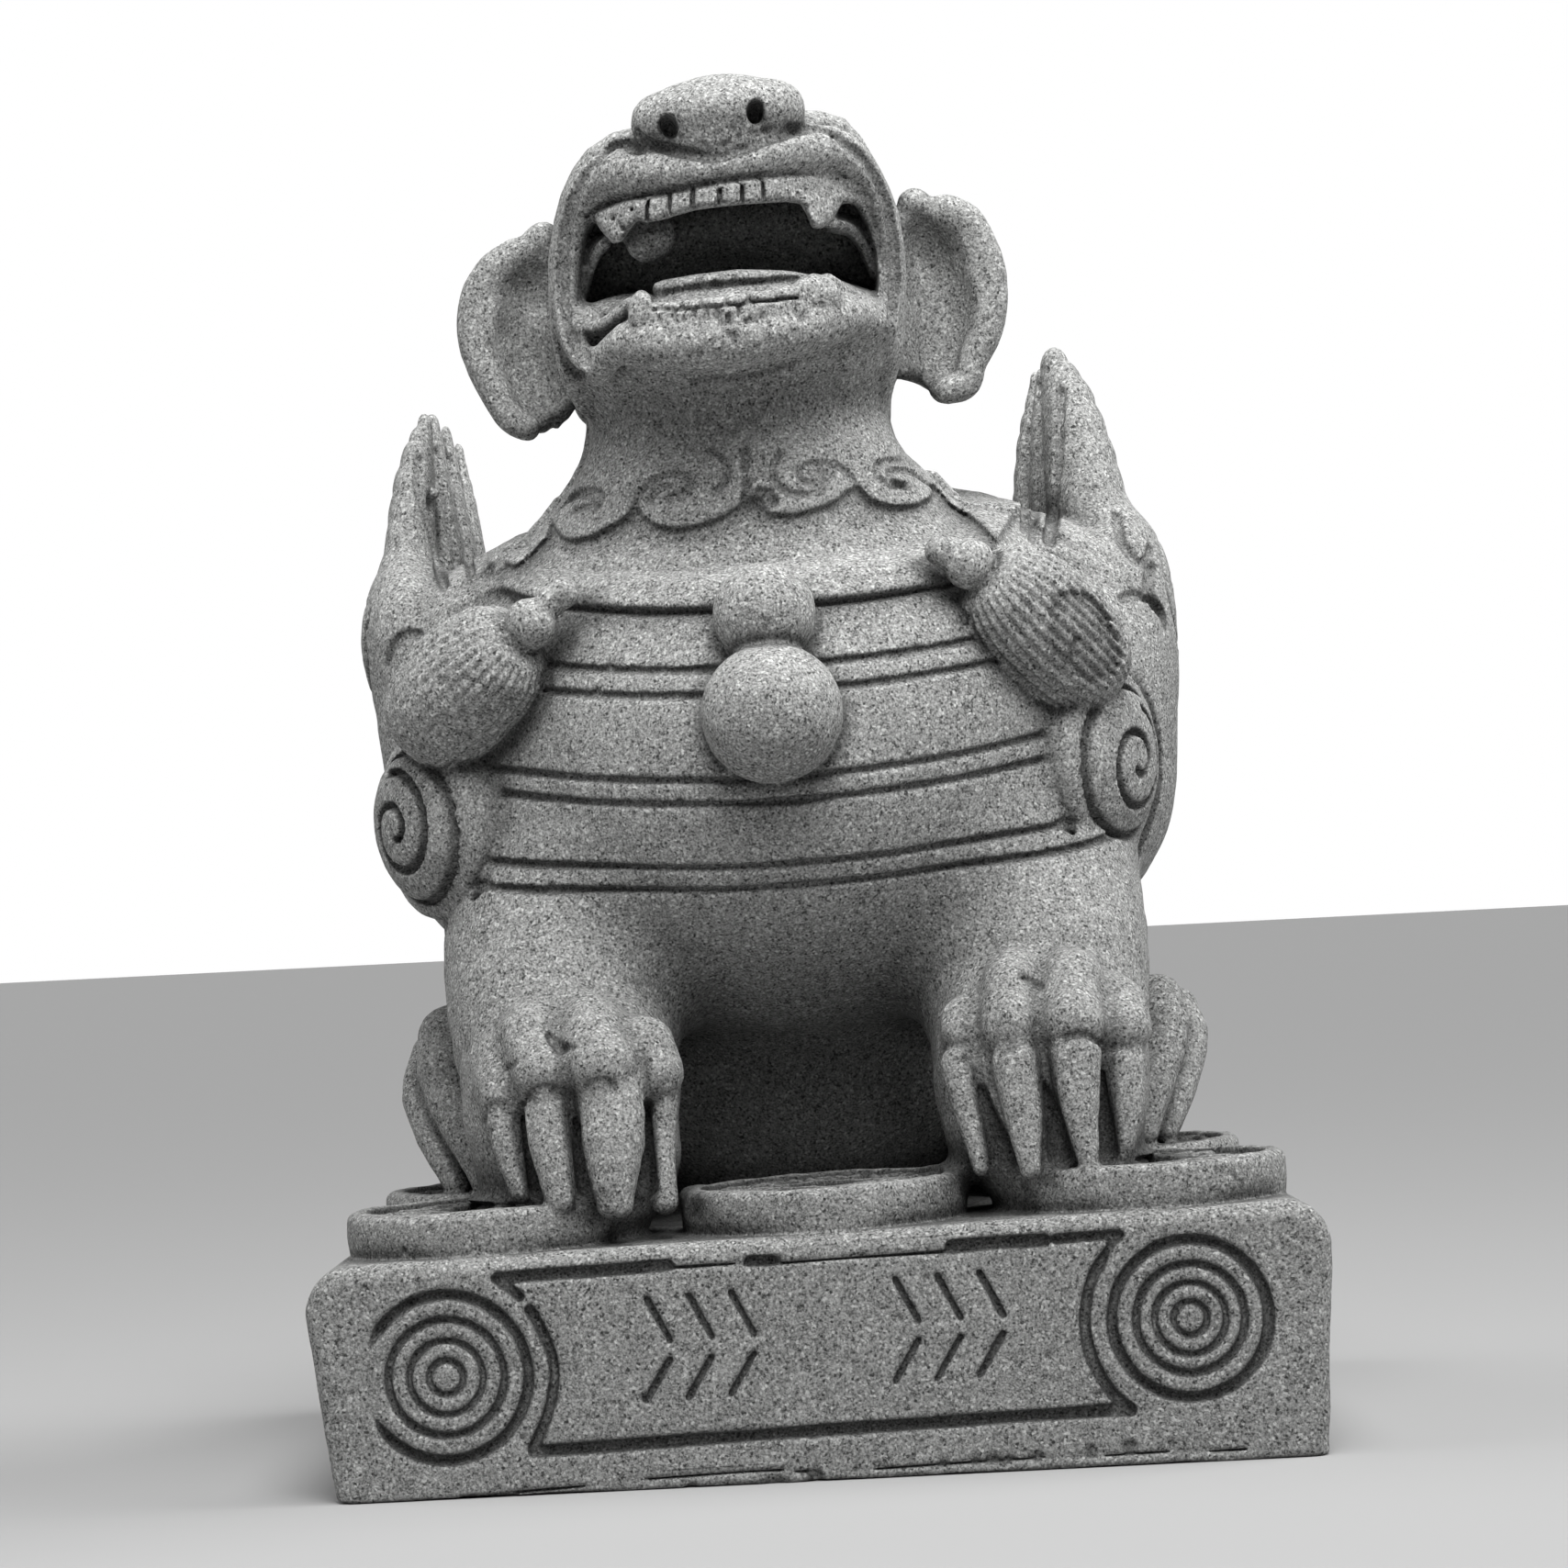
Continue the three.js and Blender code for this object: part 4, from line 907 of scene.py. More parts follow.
LOWER_TEETH = [
    (688, 334), (691, 322), (699, 318), (707, 321), (715, 327), (740, 326), (770, 322), (800, 318),
    (830, 315), (862, 311), (873, 303), (886, 299), (899, 302), (910, 312), (916, 326), (906, 338),
    (880, 345), (850, 349), (800, 355), (750, 361), (714, 366), (700, 370), (690, 362), (686, 348),
]
TONGUE = [
    (711, 316), (713, 309), (722, 305), (756, 299), (805, 294), (850, 295), (878, 299), (883, 306),
    (878, 312), (853, 316), (798, 324), (746, 330), (718, 331),
]
CONTOUR = [
    (592, 560), (606, 535), (617, 516), (627, 490), (629, 463), (623, 442), (611, 417), (601, 372),
    (598, 331), (598, 283), (603, 239), (611, 210), (624, 184), (640, 162), (665, 144), (691, 138),
    (700, 112), (740, 92), (822, 90), (856, 106), (866, 119), (895, 121), (920, 130), (939, 152),
    (955, 178), (968, 203), (978, 229), (984, 258), (987, 290), (987, 331), (986, 366), (982, 398),
    (974, 436), (973, 459), (978, 476), (988, 492), (1012, 512), (1046, 535),
]
# The grooves between lip and cheek, each with its radius and number of points
LIP_GROOVES = [
    (
        [(697, 163), (683, 159), (668, 161), (649, 174), (632, 198), (621, 226), (614, 264), (612, 295),
         (614, 321), (619, 347), (627, 374), (638, 392)],
        0.5,
        60,
    ),
    ([(600, 362), (606, 378), (615, 394), (626, 405), (638, 412)], 0.36, 30),
    (
        [(868, 141), (885, 138), (905, 143), (923, 157), (943, 174), (957, 198), (968, 226), (973, 261),
         (976, 295), (976, 320), (975, 344), (969, 362)],
        0.5,
        60,
    ),
]


def head_mass(clay):
    clay.add(ball(HEAD + [0, 1, 0.4], [12.0, 11, 11.2]), 2.0)
    clay.add(ball(HEAD + [0, -7.6, 6.2], [10.9, 10.0, 5.4], turned(tilt=-12)), 2.2)
    clay.add(ball(HEAD + [-0.2, -6.8, -2.9], [10.6, 9.6, 5.0], turned(tilt=-16)), 4.0)
    for side in SIDES:
        clay.add(ball(HEAD + [side * 7.8, -5.4, 1.4], [3.6, 7.2, 8.6]), 2.0)


# Rows of x, y, z and radius round the head's middle, for its right half
BROW = [(2.4, -10, 10.5, 1.5), (6.2, -7.8, 10.2, 1.6), (9.2, -3.4, 8.2, 1.5), (10.6, 1.4, 5.2, 1.1)]
HORN = [(3.4, -2, 10.2, 2.2), (4, 4, 10.8, 2.0), (4.2, 9.4, 8.4, 1.5), (4, 12.4, 3.8, 0.8)]
HEAD_ROLL = turned(roll=-2.2)


def crown(clay):
    """Brow, eye and horn, which lie back along the top of the head."""
    for side in SIDES:

        def place(p):
            return HEAD_ROLL @ (p * np.array([side, 1, 1])) + HEAD

        def strand(rows, count, blend):
            clay.add(limb([[*place(p), r] for *p, r in rows], count), blend)

        clay.add(ball(place([5.4, -6.6, 8.4]), [3.0, 3.0, 2.4]), 0.8)
        strand(BROW, 12, 0.7)
        clay.add(ball(place([5.9, -9.0, 9.0]), [1.9, 1.5, 1.5]), 0.2)
        strand(HORN, 14, 0.5)
        # rings round the horn
        for k in (4, 12, 19, 26):
            *p, r = spline(HORN, 41)[k]
            clay.cut(ball(place(p), [r + 0.12, 0.28, r + 0.12]), 0.25)
        # the cheek's whiskers, behind the jaw
        for z in (3.0, -0.6, -4.0):
            tip = [(9.6, 10.6, z - 1.4, 0.8), (7.0, 11.6, z - 0.6, 0.55)]
            strand([(10.8, 4.5, z + 1, 1.3), (11.6, 7.6, z, 1.05), *tip], 10, 0.6)
    # the parting lines of the hair, over the top
    for k in range(-2, 3):
        line = [[*(HEAD + [k * 1.5, 2 + 2.2 * t, 12.2 - 0.42 * t * t]), 0.3] for t in range(5)]
        clay.cut(limb(line), 0.3)


def build_head(clay):
    head_mass(clay)
    crown(clay)
    # the ring of the cheeks, then the fat roll of the upper lip inside it
    for cheek in CHEEKS:
        add_roll(clay, cheek, 24, 1.0)
    add_roll(clay, UPPER_LIP, 44, 0.4)
    # what shows of the head keeps to its contour
    window = outline_gap(CONTOUR), aim(560, 500, -36), aim(1020, 60, 8)
    clay.change(window, lambda old, new: smooth_max(old, new, 1.0), 0)
    add_roll(clay, LOWER_LIP, 24, 1.2)
    for groove in LIP_GROOVES:
        clay.trace(*groove)
    clay.cut(prism(MOUTH, -36, -8.5, taper=0.035), 0.5)
    clay.cut(ball([-1.5, -13.5, 61.6], [8.0, 7.5, 3.8]), 1.0)
    build_mouth(clay)
    build_nose(clay)
    for ear in EARS:
        build_ear(clay, **ear)


def slit(clay, rows, radius, front, deep=1.0):
    """A thin cut that runs back from a line of pixels."""
    for back in np.arange(0, deep + 0.01, 0.3):
        clay.cut(limb([[*lip(px, py, front + back), radius] for px, py in rows]), 0.08)


GUM_LINE = [
    (638, 236), (652, 227), (666, 221), (684, 215.5), (706, 212), (729, 208), (757, 202), (784, 196),
    (808, 192), (833, 189), (860, 187), (885, 186), (905, 188), (922, 193),
]
# Pixel x, top and foot of the gaps between the upper teeth
UPPER_GAPS = [
    (706, 220, 243), (729.5, 211, 235), (754.5, 206, 227), (784, 206, 226), (808.5, 203, 223),
    (831.5, 199, 219),
]
# Pixels of the gaps between the lower teeth, in the front row
LOWER_GAPS = [(718, 348), (734, 346), (745, 346), (756, 344), (770, 343), (782, 342), (805, 340), (793, 347)]
TOOTH_PITS = [
    (857, 212, 0.26), (866, 203, 0.3), (872, 213, 0.34), (880, 206, 0.26), (884, 226, 0.3), (893, 212, 0.24),
    (899, 236, 0.24), (876, 194, 0.24), (668, 238, 0.2), (678, 248, 0.2), (847, 214, 0.24), (688, 228, 0.2),
]
LEFT_FOLD = [(659, 264, 0.4, 1.9), (649, 276, 0.38, 2.3), (641, 297, 0.36, 2.7), (635, 322, 0.32, 3.1)]
RIGHT_FOLD = [
    (904, 243, 0.4, 1.9), (923, 247, 0.4, 2.1), (937, 261, 0.38, 2.3), (946, 280, 0.36, 2.5),
    (951, 297, 0.32, 2.7),
]
# The mouth's outer and inner rims, on the left and then on the right
RIMS = [
    [
        (649, 229, 0.4, 0.8), (632, 250, 0.45, 0.8), (623, 278, 0.45, 0.8), (620, 313, 0.45, 0.9),
        (621, 347, 0.45, 1.0), (628, 373, 0.48, 1.0), (639, 388, 0.5, 0.9), (653, 389, 0.5, 0.8),
        (672, 378, 0.5, 0.7), (685, 364, 0.45, 0.6),
    ],
    [
        (634, 352, 0.45, 1.3), (644, 356, 0.45, 1.2), (658, 354, 0.45, 1.0), (672, 345, 0.45, 0.8),
        (686, 332, 0.45, 0.6),
    ],
    [
        (916, 214, 0.4, 0.8), (937, 219, 0.45, 0.9), (954, 240, 0.45, 1.0), (963, 264, 0.45, 1.0),
        (967, 292, 0.45, 1.0), (969, 316, 0.45, 1.1), (966, 336, 0.5, 1.1), (954, 343, 0.5, 1.0),
        (937, 335, 0.48, 0.8), (918, 324, 0.45, 0.6),
    ],
    [
        (966, 318, 0.4, 1.8), (950, 330, 0.4, 1.6), (937, 326, 0.4, 1.4), (918, 316, 0.45, 1.0),
        (902, 305, 0.45, 0.7),
    ],
]
CHIN_LINES = [
    [(755, 441), (752, 452), (757, 462), (755, 471)],
    [(811, 463), (810, 470)],
    [(835, 447), (834, 458)],
]
# The grain of the worn lip: how many pits, between which pixels, and how fast the lip slopes
LIP_PITS, LIP_LEFT, LIP_RIGHT, LIP_TOP, LIP_SLOPE = 120, 690, 905, 378, 0.13


def build_mouth(clay):
    # the upper teeth under their gum line
    clay.add(pillow(UPPER_TEETH, lip_base(0.85), 1.0, 0.45, 2.2), 0.15)
    for px, top, foot in UPPER_GAPS:
        slit(clay, [(px, top), (px - 0.5, foot - 3)], 0.15, -0.45, 0.9)
    for px, py, r in TOOTH_PITS:
        clay.cut(ball(lip(px, py, -0.15), [r, 0.4, r]), 0.15)
    slit(clay, spline(GUM_LINE, 40), 0.12, -0.4, 0.6)
    # a worn fang further in, and the floor of the mouth's left corner
    clay.add(ball(lip(708, 258, 4.4), [1.7, 1.2, 1.8], turned(roll=18)), 0.5)
    clay.add(ball(lip(656, 347, 3.5), [2.6, 1.7, 1.2], turned(roll=-20)), 0.8)
    # folds inside the cheeks
    for fold, side in ((LEFT_FOLD, -1), (RIGHT_FOLD, 1)):
        for k in range(4):
            rows = [(px + side * 2 * k, py, r + 0.12 * k, push + 0.8 * k) for px, py, r, push in fold]
            add_roll(clay, rows, 12, 0.25)
    for rows in RIMS:
        add_roll(clay, rows, 30, 0.2)
    # the tongue, a slab with a raised rim
    clay.add(pillow(TONGUE, lip_base(1.9), 0.5, 0.4, 9.0), 0.2)
    slit(clay, spline([(722, 321), (746, 316), (798, 310), (846, 306), (874, 304)], 20), 0.24, 1.2, 0.4)
    # lower teeth in two worn rows, with a blunt fang at either end
    clay.add(pillow(LOWER_TEETH, lip_base(0.5), 1.1, 0.7, 5.0), 0.25)
    clay.add(ball(lip(698, 342, 0.3), [0.8, 1.1, 1.6], turned(roll=6)), 0.3)
    clay.add(ball(lip(893, 324, 0.4), [1.5, 1.2, 1.3]), 0.4)
    middle_line = [(712, 338), (740, 337), (770, 335), (798, 332), (834, 328), (868, 324)]
    slit(clay, spline(middle_line, 20), 0.15, -0.6, 0.3)
    for px, py in ((720, 331), (742.5, 331), (763, 329), (790, 326), (815, 323)):
        slit(clay, [(px, py - 3), (px, py + 3)], 0.17, -0.6, 0.3)
    for px, py in LOWER_GAPS:
        slit(clay, [(px, py - 4), (px, py + 3)], 0.17, -0.7, 0.3)
    slit(clay, [(712, 327), (740, 326), (770, 322), (800, 318), (850, 312)], 0.2, -0.2, 0.9)
    # the worn, grainy lip below them
    rng = np.random.default_rng(5)
    for _ in range(LIP_PITS):
        px = rng.uniform(LIP_LEFT, LIP_RIGHT)
        py = LIP_TOP - (px - LIP_LEFT) * LIP_SLOPE + rng.uniform(-24, 22)
        clay.cut(ball(clay.spot(px, py) - [0, 0.06, 0], rng.uniform(0.15, 0.24)), 0.15)
    # short raised lines and a crease on the chin
    for line in CHIN_LINES:
        clay.add(clay.cord(line, 0.22), 0.2)
    clay.trace([(755, 417), (775, 413), (800, 412), (830, 406), (868, 395)], 0.22)


NOSE_CREASE = [
    (694, 145), (705, 156), (729, 164), (757, 169), (777, 172), (798, 167), (830, 155), (866, 142),
]


def build_nose(clay):
    clay.add(ball(aim(781, 128, -21.6), [5.35, 4.4, 2.75], turned(roll=-3)), 0.6)
    for px, py, r in ((714, 134, 1.6), (848, 118, 1.75)):
        clay.add(ball(aim(px, py, -22.0), [r, 2.2, 1.7]), 0.9)
    clay.add(ball(aim(777, 152, -23.8), [2.6, 1.6, 1.15]), 0.8)
    clay.trace(NOSE_CREASE, 0.36, 40)
    # the nostrils, each with a shallow dent below it
    for px, py, roll in ((728, 137.5, -14), (822, 122, 14)):
        clay.cut(ball(aim(px, py, -24.8), [0.56, 1.9, 0.76], turned(roll=roll)), 0.3)
        clay.cut(ball(aim(px + roll * 0.4, py + 9, -25.4), [0.5, 1.0, 0.4]), 0.3)
    clay.pit((860, 138), 0.28, 0.15)
    for pixel in ((711, 148), (741, 151), (765, 157), (805, 149), (820, 144), (833, 142), (788, 158)):
        clay.pit(pixel, 0.22, 0.15)


# Each ear has a small ball where it starts, hollows as pixel, radii and roll, a rim, and pits below it
EARS = [
    dict(
        outline=[
            (571, 263), (560, 268), (542, 277), (531, 287), (523, 299), (514, 314), (509, 330), (506, 348),
            (506, 366), (509, 380), (514, 393), (522, 409), (530, 426), (538, 441), (547, 456), (556, 465),
            (566, 470), (580, 473), (594, 472), (602, 465), (607, 468), (614, 460), (620, 455), (626, 446),
            (640, 420), (640, 280), (600, 262),
        ],
        bump=(591, 262, 1.35),
        hollows=[
            ((581, 326), [2.0, 2.3, 2.6], 8),
            ((584, 418), [2.5, 3.0, 4.9], -14),
            ((578, 372), [1.5, 1.9, 3.4], 0),
        ],
        rim=[(560, 276), (534, 292), (517, 322), (513, 360), (521, 396), (537, 428), (554, 455), (574, 465)],
        pits=[(606, 472), (612, 466), (603, 458), (622, 455)],
    ),
    dict(
        outline=[
            (1012, 222), (1028, 218), (1040, 220), (1050, 226), (1059, 233), (1066, 242), (1074, 255),
            (1081, 268), (1086, 281), (1090, 296), (1092, 321), (1090, 346), (1086, 360), (1081, 371),
            (1073, 385), (1066, 396), (1063, 412), (1056, 426), (1046, 432), (1034, 434), (1024, 433),
            (1014, 426), (1002, 419), (990, 415), (965, 410), (965, 230), (990, 222),
        ],
        bump=(995, 222, 1.15),
        hollows=[
            ((1016, 282), [2.0, 2.7, 3.0], -16),
            ((1026, 366), [2.3, 2.8, 4.6], 4),
            ((1020, 324), [1.9, 2.2, 3.2], -8),
        ],
        rim=[
            (1030, 228), (1053, 238), (1069, 262), (1080, 296), (1083, 330), (1076, 364), (1060, 392),
            (1054, 416), (1030, 424),
        ],
        pits=[],
    ),
]


def build_ear(clay, outline, bump, hollows, rim, pits):
    leaf, low, high = prism(outline, -7.0, -1.6, grow=-0.9)

    def soft(x, y, z):
        return smooth_max(leaf(x, y, z), np.abs(y + 4.2) - 1.5, 1.2) - 0.9

    clay.add((soft, low - 1, high + 1), 0.5)
    px, py, radius = bump
    clay.add(ball(aim(px, py, -5.6), radius), 0.4)
    for pixel, radii, roll in hollows:
        clay.cut(ball(aim(*pixel, -7.0), radii, turned(roll=roll)), 1.3)
    clay.add(limb(aimed((px, py, -5.8, 0.8) for px, py in rim), 24), 1.4)
    for pixel in pits:
        clay.cut(ball(aim(*pixel, -5.4), [0.5, 1.4, 0.5]), 0.3)


# The plinth and its coins. Their frame is the beast's, whose ground is the coins' tops.
PLINTH_TOP = -2.9
PLINTH_DEEP = 31  # half its depth
FRONT = -31.0
PLINTH_WIDE = 32.0  # half its width at the foot
FLARE, FLARE_HEIGHT = 1.2, 12.8  # how much wider it is above, and from what height on
COINS = [(-21.57, -20.4), (22.04, -20.4), (0.71, -20.64), (-20.86, 1.72), (21.1, 1.72), (0, 20.4)]
COIN = 9.5  # radius
COIN_FOOT = -3.4  # set a little into the plinth
FIELD = 8.1  # radius of the sunk field
FIELD_DEPTH = 0.65
HOLE, HOLE_RIM = 2.6, 3.0  # half the sides of the square hole and of the rim round it
MARKS = 26


def build_plinth(clay):
    def far(x, y, z):
        rise = np.clip((z + SEAT) / FLARE_HEIGHT, 0, 1)
        flank = np.abs(x) - (PLINTH_WIDE + FLARE * rise)
        return corner(corner(flank, z - PLINTH_TOP, 3.0), np.abs(y) - PLINTH_DEEP, 1.2)

    wide = PLINTH_WIDE + FLARE
    clay.add((far, [-wide, -PLINTH_DEEP, -SEAT - 1], [wide, PLINTH_DEEP, PLINTH_TOP]))


def build_coin(clay, cx, cy):
    def away(x, y):
        return np.hypot(x - cx, y - cy)

    def square(x, y, half):
        """How far outside a square that stands on its corner."""
        x, y = x - cx, y - cy
        return np.maximum(np.abs(x + y), np.abs(x - y)) / 1.414 - half

    def box(reach, low, high):
        return [cx - reach, cy - reach, low], [cx + reach, cy + reach, high]

    def body(x, y, z):
        return np.maximum(corner(away(x, y) - COIN + 0.05 * (z + 1.4) ** 2, z, 0.55), COIN_FOOT - z)

    def field(x, y, z):
        return np.maximum(corner(away(x, y) - FIELD, -FIELD_DEPTH - z, 0.3), z - 0.4)

    def rim(x, y, z):
        return np.maximum(np.abs(square(x, y, HOLE_RIM)) - 0.4, np.abs(z + 0.8) - 0.55)

    def hole(x, y, z):
        return np.maximum(square(x, y, HOLE), np.abs(z + 1.2) - 0.8)

    clay.add((body, *box(COIN + 0.1, COIN_FOOT, 0)), 0.15)
    clay.cut((field, *box(FIELD, -FIELD_DEPTH, 0.4)), 0.2)
    clay.add((rim, *box(5, -1.4, -0.2)), 0.2)
    clay.cut((hole, *box(4, -2.2, 0)), 0.2)


def build_coins(clay):
    rng = np.random.default_rng(11)
    for cx, cy in COINS:
        build_coin(clay, cx, cy)
        # short raised marks round the field
        for k in range(MARKS):
            angle = 2 * math.pi * (k + rng.uniform(-0.2, 0.2)) / MARKS
            r = rng.uniform(4.7, 7.2)
            turn = angle + rng.choice([0, math.pi / 2, 0.7])
            mx, my = cx + r * math.cos(angle), cy + r * math.sin(angle)
            dx, dy = 0.85 * math.cos(turn), 0.85 * math.sin(turn)
            clay.add(limb([[mx - dx, my - dy, -0.62, 0.42], [mx + dx, my + dy, -0.6, 0.42]]), 0.15)


def front_line(clay, pixels, radius, sink=0.12):
    """A groove in the plinth's front."""
    points = np.array([aim(px, py, FRONT) for px, py in spline(pixels, 3 * len(pixels))])
    for deeper in (sink, 0.25):
        points[:, 1] += deeper
        clay.cut(limb(np.column_stack([points, np.full(len(points), radius)])), 0.08)


def front_ring(clay, pixel, radius, width, faded=None):
    """A round groove. faded gives the angle at which it fades out, and over how much."""
    m = aim(*pixel, FRONT)

    def far(x, y, z):
        r = np.hypot(x - m[0], z - m[2])
        half = width / 2
        if faded:
            angle = np.arctan2(z - m[2], x - m[0])
            away = np.abs(np.mod(angle - faded[0] + math.pi, 2 * math.pi) - math.pi)
            half = half * np.clip((away - faded[1]) / 0.35, 0.15, 1)
        return np.hypot(r - radius, np.maximum(y - FRONT - 0.05, 0) * 0.5) - half

    reach = np.array([radius + width, 1, radius + width])
    clay.cut((far, m - reach, m + reach), 0.1)


# Each group of rings has a middle, four radii and the outer ring's faded part
RINGS = [
    ((486, 1501), (1.1, 2.38, 3.72, 5.3), (math.pi, 0.35)),
    ((1297, 1436), (1.08, 2.3, 3.5, 5.05), None),
]
RING_WIDTHS = (0.42, 0.44, 0.52, 0.7)
# The panel's frame and the fine lines round it, with their radii
FRAME_LINES = [
    ([(541, 1393), (600, 1388), (660, 1384), (727, 1378)], 0.36),
    ([(727, 1381), (770, 1379), (815, 1377)], 0.1),
    ([(817, 1374), (841, 1373)], 0.34),
    ([(845, 1377), (900, 1372), (960, 1368), (1034, 1363)], 0.09),
    ([(1037, 1358), (1070, 1355), (1100, 1353), (1138, 1351)], 0.4),
    ([(1151, 1350), (1185, 1347), (1219, 1345)], 0.32),
    ([(1219, 1345), (1203, 1366)], 0.24),
    (
        [(1201, 1372), (1190, 1392), (1184, 1416), (1182, 1445), (1187, 1472), (1198, 1497), (1213, 1519),
         (1232, 1537)],
        0.34,
    ),
    ([(545, 1397), (556, 1404), (566, 1413)], 0.3),
    ([(577, 1427), (590, 1450), (600, 1474), (604, 1496), (601, 1524), (593, 1550), (581, 1577)], 0.34),
    ([(581, 1582), (660, 1576), (780, 1567), (900, 1558), (1020, 1550), (1130, 1542), (1232, 1535)], 0.36),
    ([(503, 1631), (560, 1626), (633, 1619), (720, 1611), (828, 1602), (880, 1603)], 0.07),
    ([(955, 1600), (1014, 1596), (1110, 1590), (1230, 1584), (1358, 1579)], 0.07),
]
# Two groups of short slanting strokes, in pixels of the photograph
STROKE_GROUPS = [(763, 1467), (1034, 1446)]
STROKE_PITCH, ROW_PITCH = 46, 33
STROKE_LEAN, STROKE_HALF = 13, 23
PANEL_SLOPE = -0.075


def build_front(clay):
    for pixel, radii, faded in RINGS:
        for radius, width in zip(radii, RING_WIDTHS):
            front_ring(clay, pixel, radius, width, faded if radius == radii[-1] else None)
    for line, radius in FRAME_LINES:
        front_line(clay, line, radius)
    for mx, my in STROKE_GROUPS:
        for row in (-1, 1):
            for k in (-1, 0, 1):
                x = mx + STROKE_PITCH * k
                y = my + ROW_PITCH * row + PANEL_SLOPE * STROKE_PITCH * k
                ends = [(x + i * STROKE_LEAN * row, y - i * STROKE_HALF) for i in (-1, 0, 1)]
                front_line(clay, ends, 0.2, 0.05)


CHIPS, PITS = 60, 260


def weather(clay):
    """Small chips on the plinth's edges and pits in the skin."""
    rng = np.random.default_rng(3)
    for _ in range(CHIPS):
        edge = rng.integers(3)
        x = rng.uniform(-31, 31)
        flank = [math.copysign(33, x), rng.uniform(-31, 31), -4.6]
        spot = ([x, -30.6, PLINTH_TOP], [x, FRONT, -SEAT + 0.4 + 0.02 * x], flank)[edge]
        clay.cut(ball(spot, rng.uniform(0.2, 0.4, 3)), 0.3)
    spots = clay.seen(np.column_stack([rng.uniform(380, 1420, PITS), rng.uniform(100, 1620, PITS)]))
    for spot in spots[np.abs(clay.sample(spots)) < 0.2]:
        clay.cut(ball(spot, rng.uniform(0.12, 0.26)), 0.1)
    clay.trace([(1319, 1273), (1343, 1281), (1352, 1295), (1351, 1306)], 0.13)


def level(clay):
    """Cuts the leaning casting flat along the ground."""

    def far(x, y, z):
        return x * TURN[2, 0] + (z + SEAT) * TURN[2, 2] + 0 * y

    clay.cut((far, [-36, -34, -SEAT - 2], [36, 34, -SEAT + 3]), 0.3)


def sculpt():
    """The whole figure. The clay is finest towards the viewer."""
    rows = np.concatenate([np.arange(-32.6, -12, STEP * 1.1), np.arange(-12, 32.6, STEP * 1.5)])
    clay = Clay(np.arange(-34.6, 34.8, STEP), rows, np.arange(-20.4, 75.8, STEP))
    for build in (
        build_plinth, build_coins, build_torso, build_neck, build_rump, build_legs, build_wings, build_back,
        build_plates, build_tassels, build_balls, build_toes, build_head, build_front, weather, level,
    ):
        build(clay)
    return clay


# From clay to mesh


def grain(points, size, seed):
    """Smooth random values from -1 to 1, one lump for each size."""
    table = np.random.default_rng(seed).uniform(-1, 1, (32, 32, 32))
    p = (points / size).T
    cell = np.floor(p).astype(int)
    t = p - cell

    def value(bits):
        return table[tuple((k + bit) % 32 for k, bit in zip(cell, bits))]

    return between(t * t * (3 - 2 * t), value)


def unit(vectors):
    return vectors / np.maximum(np.linalg.norm(vectors, axis=1, keepdims=True), 1e-12)


def field_normals(clay, points, reach=0.3):
    steps = np.eye(3) * reach
    return unit(np.column_stack([clay.sample(points + step) - clay.sample(points - step) for step in steps]))


# Its values darken the stone's colour below: painted shade in grooves and recesses, plus the right tassel's
# worn spot.
def hollowness(clay, points, normals):
    """How much stone stands round a point: 0 in the open, 1 deep in a groove."""
    total = np.zeros(len(points))
    for reach, share in ((0.3, 0.3), (0.6, 0.35), (1.1, 0.35), (2.0, 0.3), (3.1, 0.3)):
        gap = clay.sample(points + normals * reach)
        total += share * np.clip((reach - gap) / reach - 0.05, 0, 1.2)
    # the dark, worn spot on the right tassel
    face = (normals[:, 1] < -0.2) & (points[:, 1] < -8)
    total += np.where(face, 0.2 * np.clip(0.3 - outline_gap(WORN)(*points.T), 0, 1), 0)
    return np.clip(total, 0, 1.2)


def mesh_body(name, points, faces):
    """An object from points and faces that all have the same number of corners."""
    mesh = bpy.data.meshes.new(name)
    mesh.vertices.add(len(points))
    mesh.vertices.foreach_set("co", points.astype(np.float32).ravel())
    mesh.loops.add(faces.size)
    mesh.loops.foreach_set("vertex_index", faces.astype(np.int32).ravel())
    mesh.polygons.add(len(faces))
    mesh.polygons.foreach_set("loop_start", np.arange(0, faces.size, faces.shape[1], dtype=np.int32))
    mesh.update(calc_edges=True)
    body = bpy.data.objects.new(name, mesh)
    bpy.context.collection.objects.link(body)
    return body


def reduced(points, quads, triangles):
    """The same skin with fewer triangles, small where the surface bends."""
    body = mesh_body("raw", points, quads)
    if 2 * len(quads) > triangles:
        body.modifiers.new("fewer", "DECIMATE").ratio = triangles / (2 * len(quads))
    done = body.evaluated_get(bpy.context.evaluated_depsgraph_get()).to_mesh()
    done.calc_loop_triangles()
    out = np.empty(len(done.vertices) * 3, np.float32)
    done.vertices.foreach_get("co", out)
    faces = np.empty(len(done.loop_triangles) * 3, np.int32)
    done.loop_triangles.foreach_get("vertices", faces)
    mesh = body.data
    bpy.data.objects.remove(body)
    bpy.data.meshes.remove(mesh)
    return out.reshape(-1, 3).astype(float), faces.reshape(-1, 3)


def largest_skin(points, quads):
    """Only the outer skin, without sealed bubbles or crumbs."""
    label = np.arange(len(points))
    while True:
        low = label[quads].min(1)
        new = label.copy()
        for k in range(4):
            np.minimum.at(new, quads[:, k], low)
        new = new[new]
        if (new == label).all():
            break
        label = new
    keep = label == np.bincount(label).argmax()
    number = np.cumsum(keep) - 1
    return points[keep], number[quads[keep[quads[:, 0]]]]


def vertex_normals(points, faces):
    a, b, c = (points[faces[:, k]] for k in range(3))
    flat = np.cross(b - a, c - a)
    total = np.zeros_like(points)
    for k in range(3):
        np.add.at(total, faces[:, k], flat)
    return unit(total)


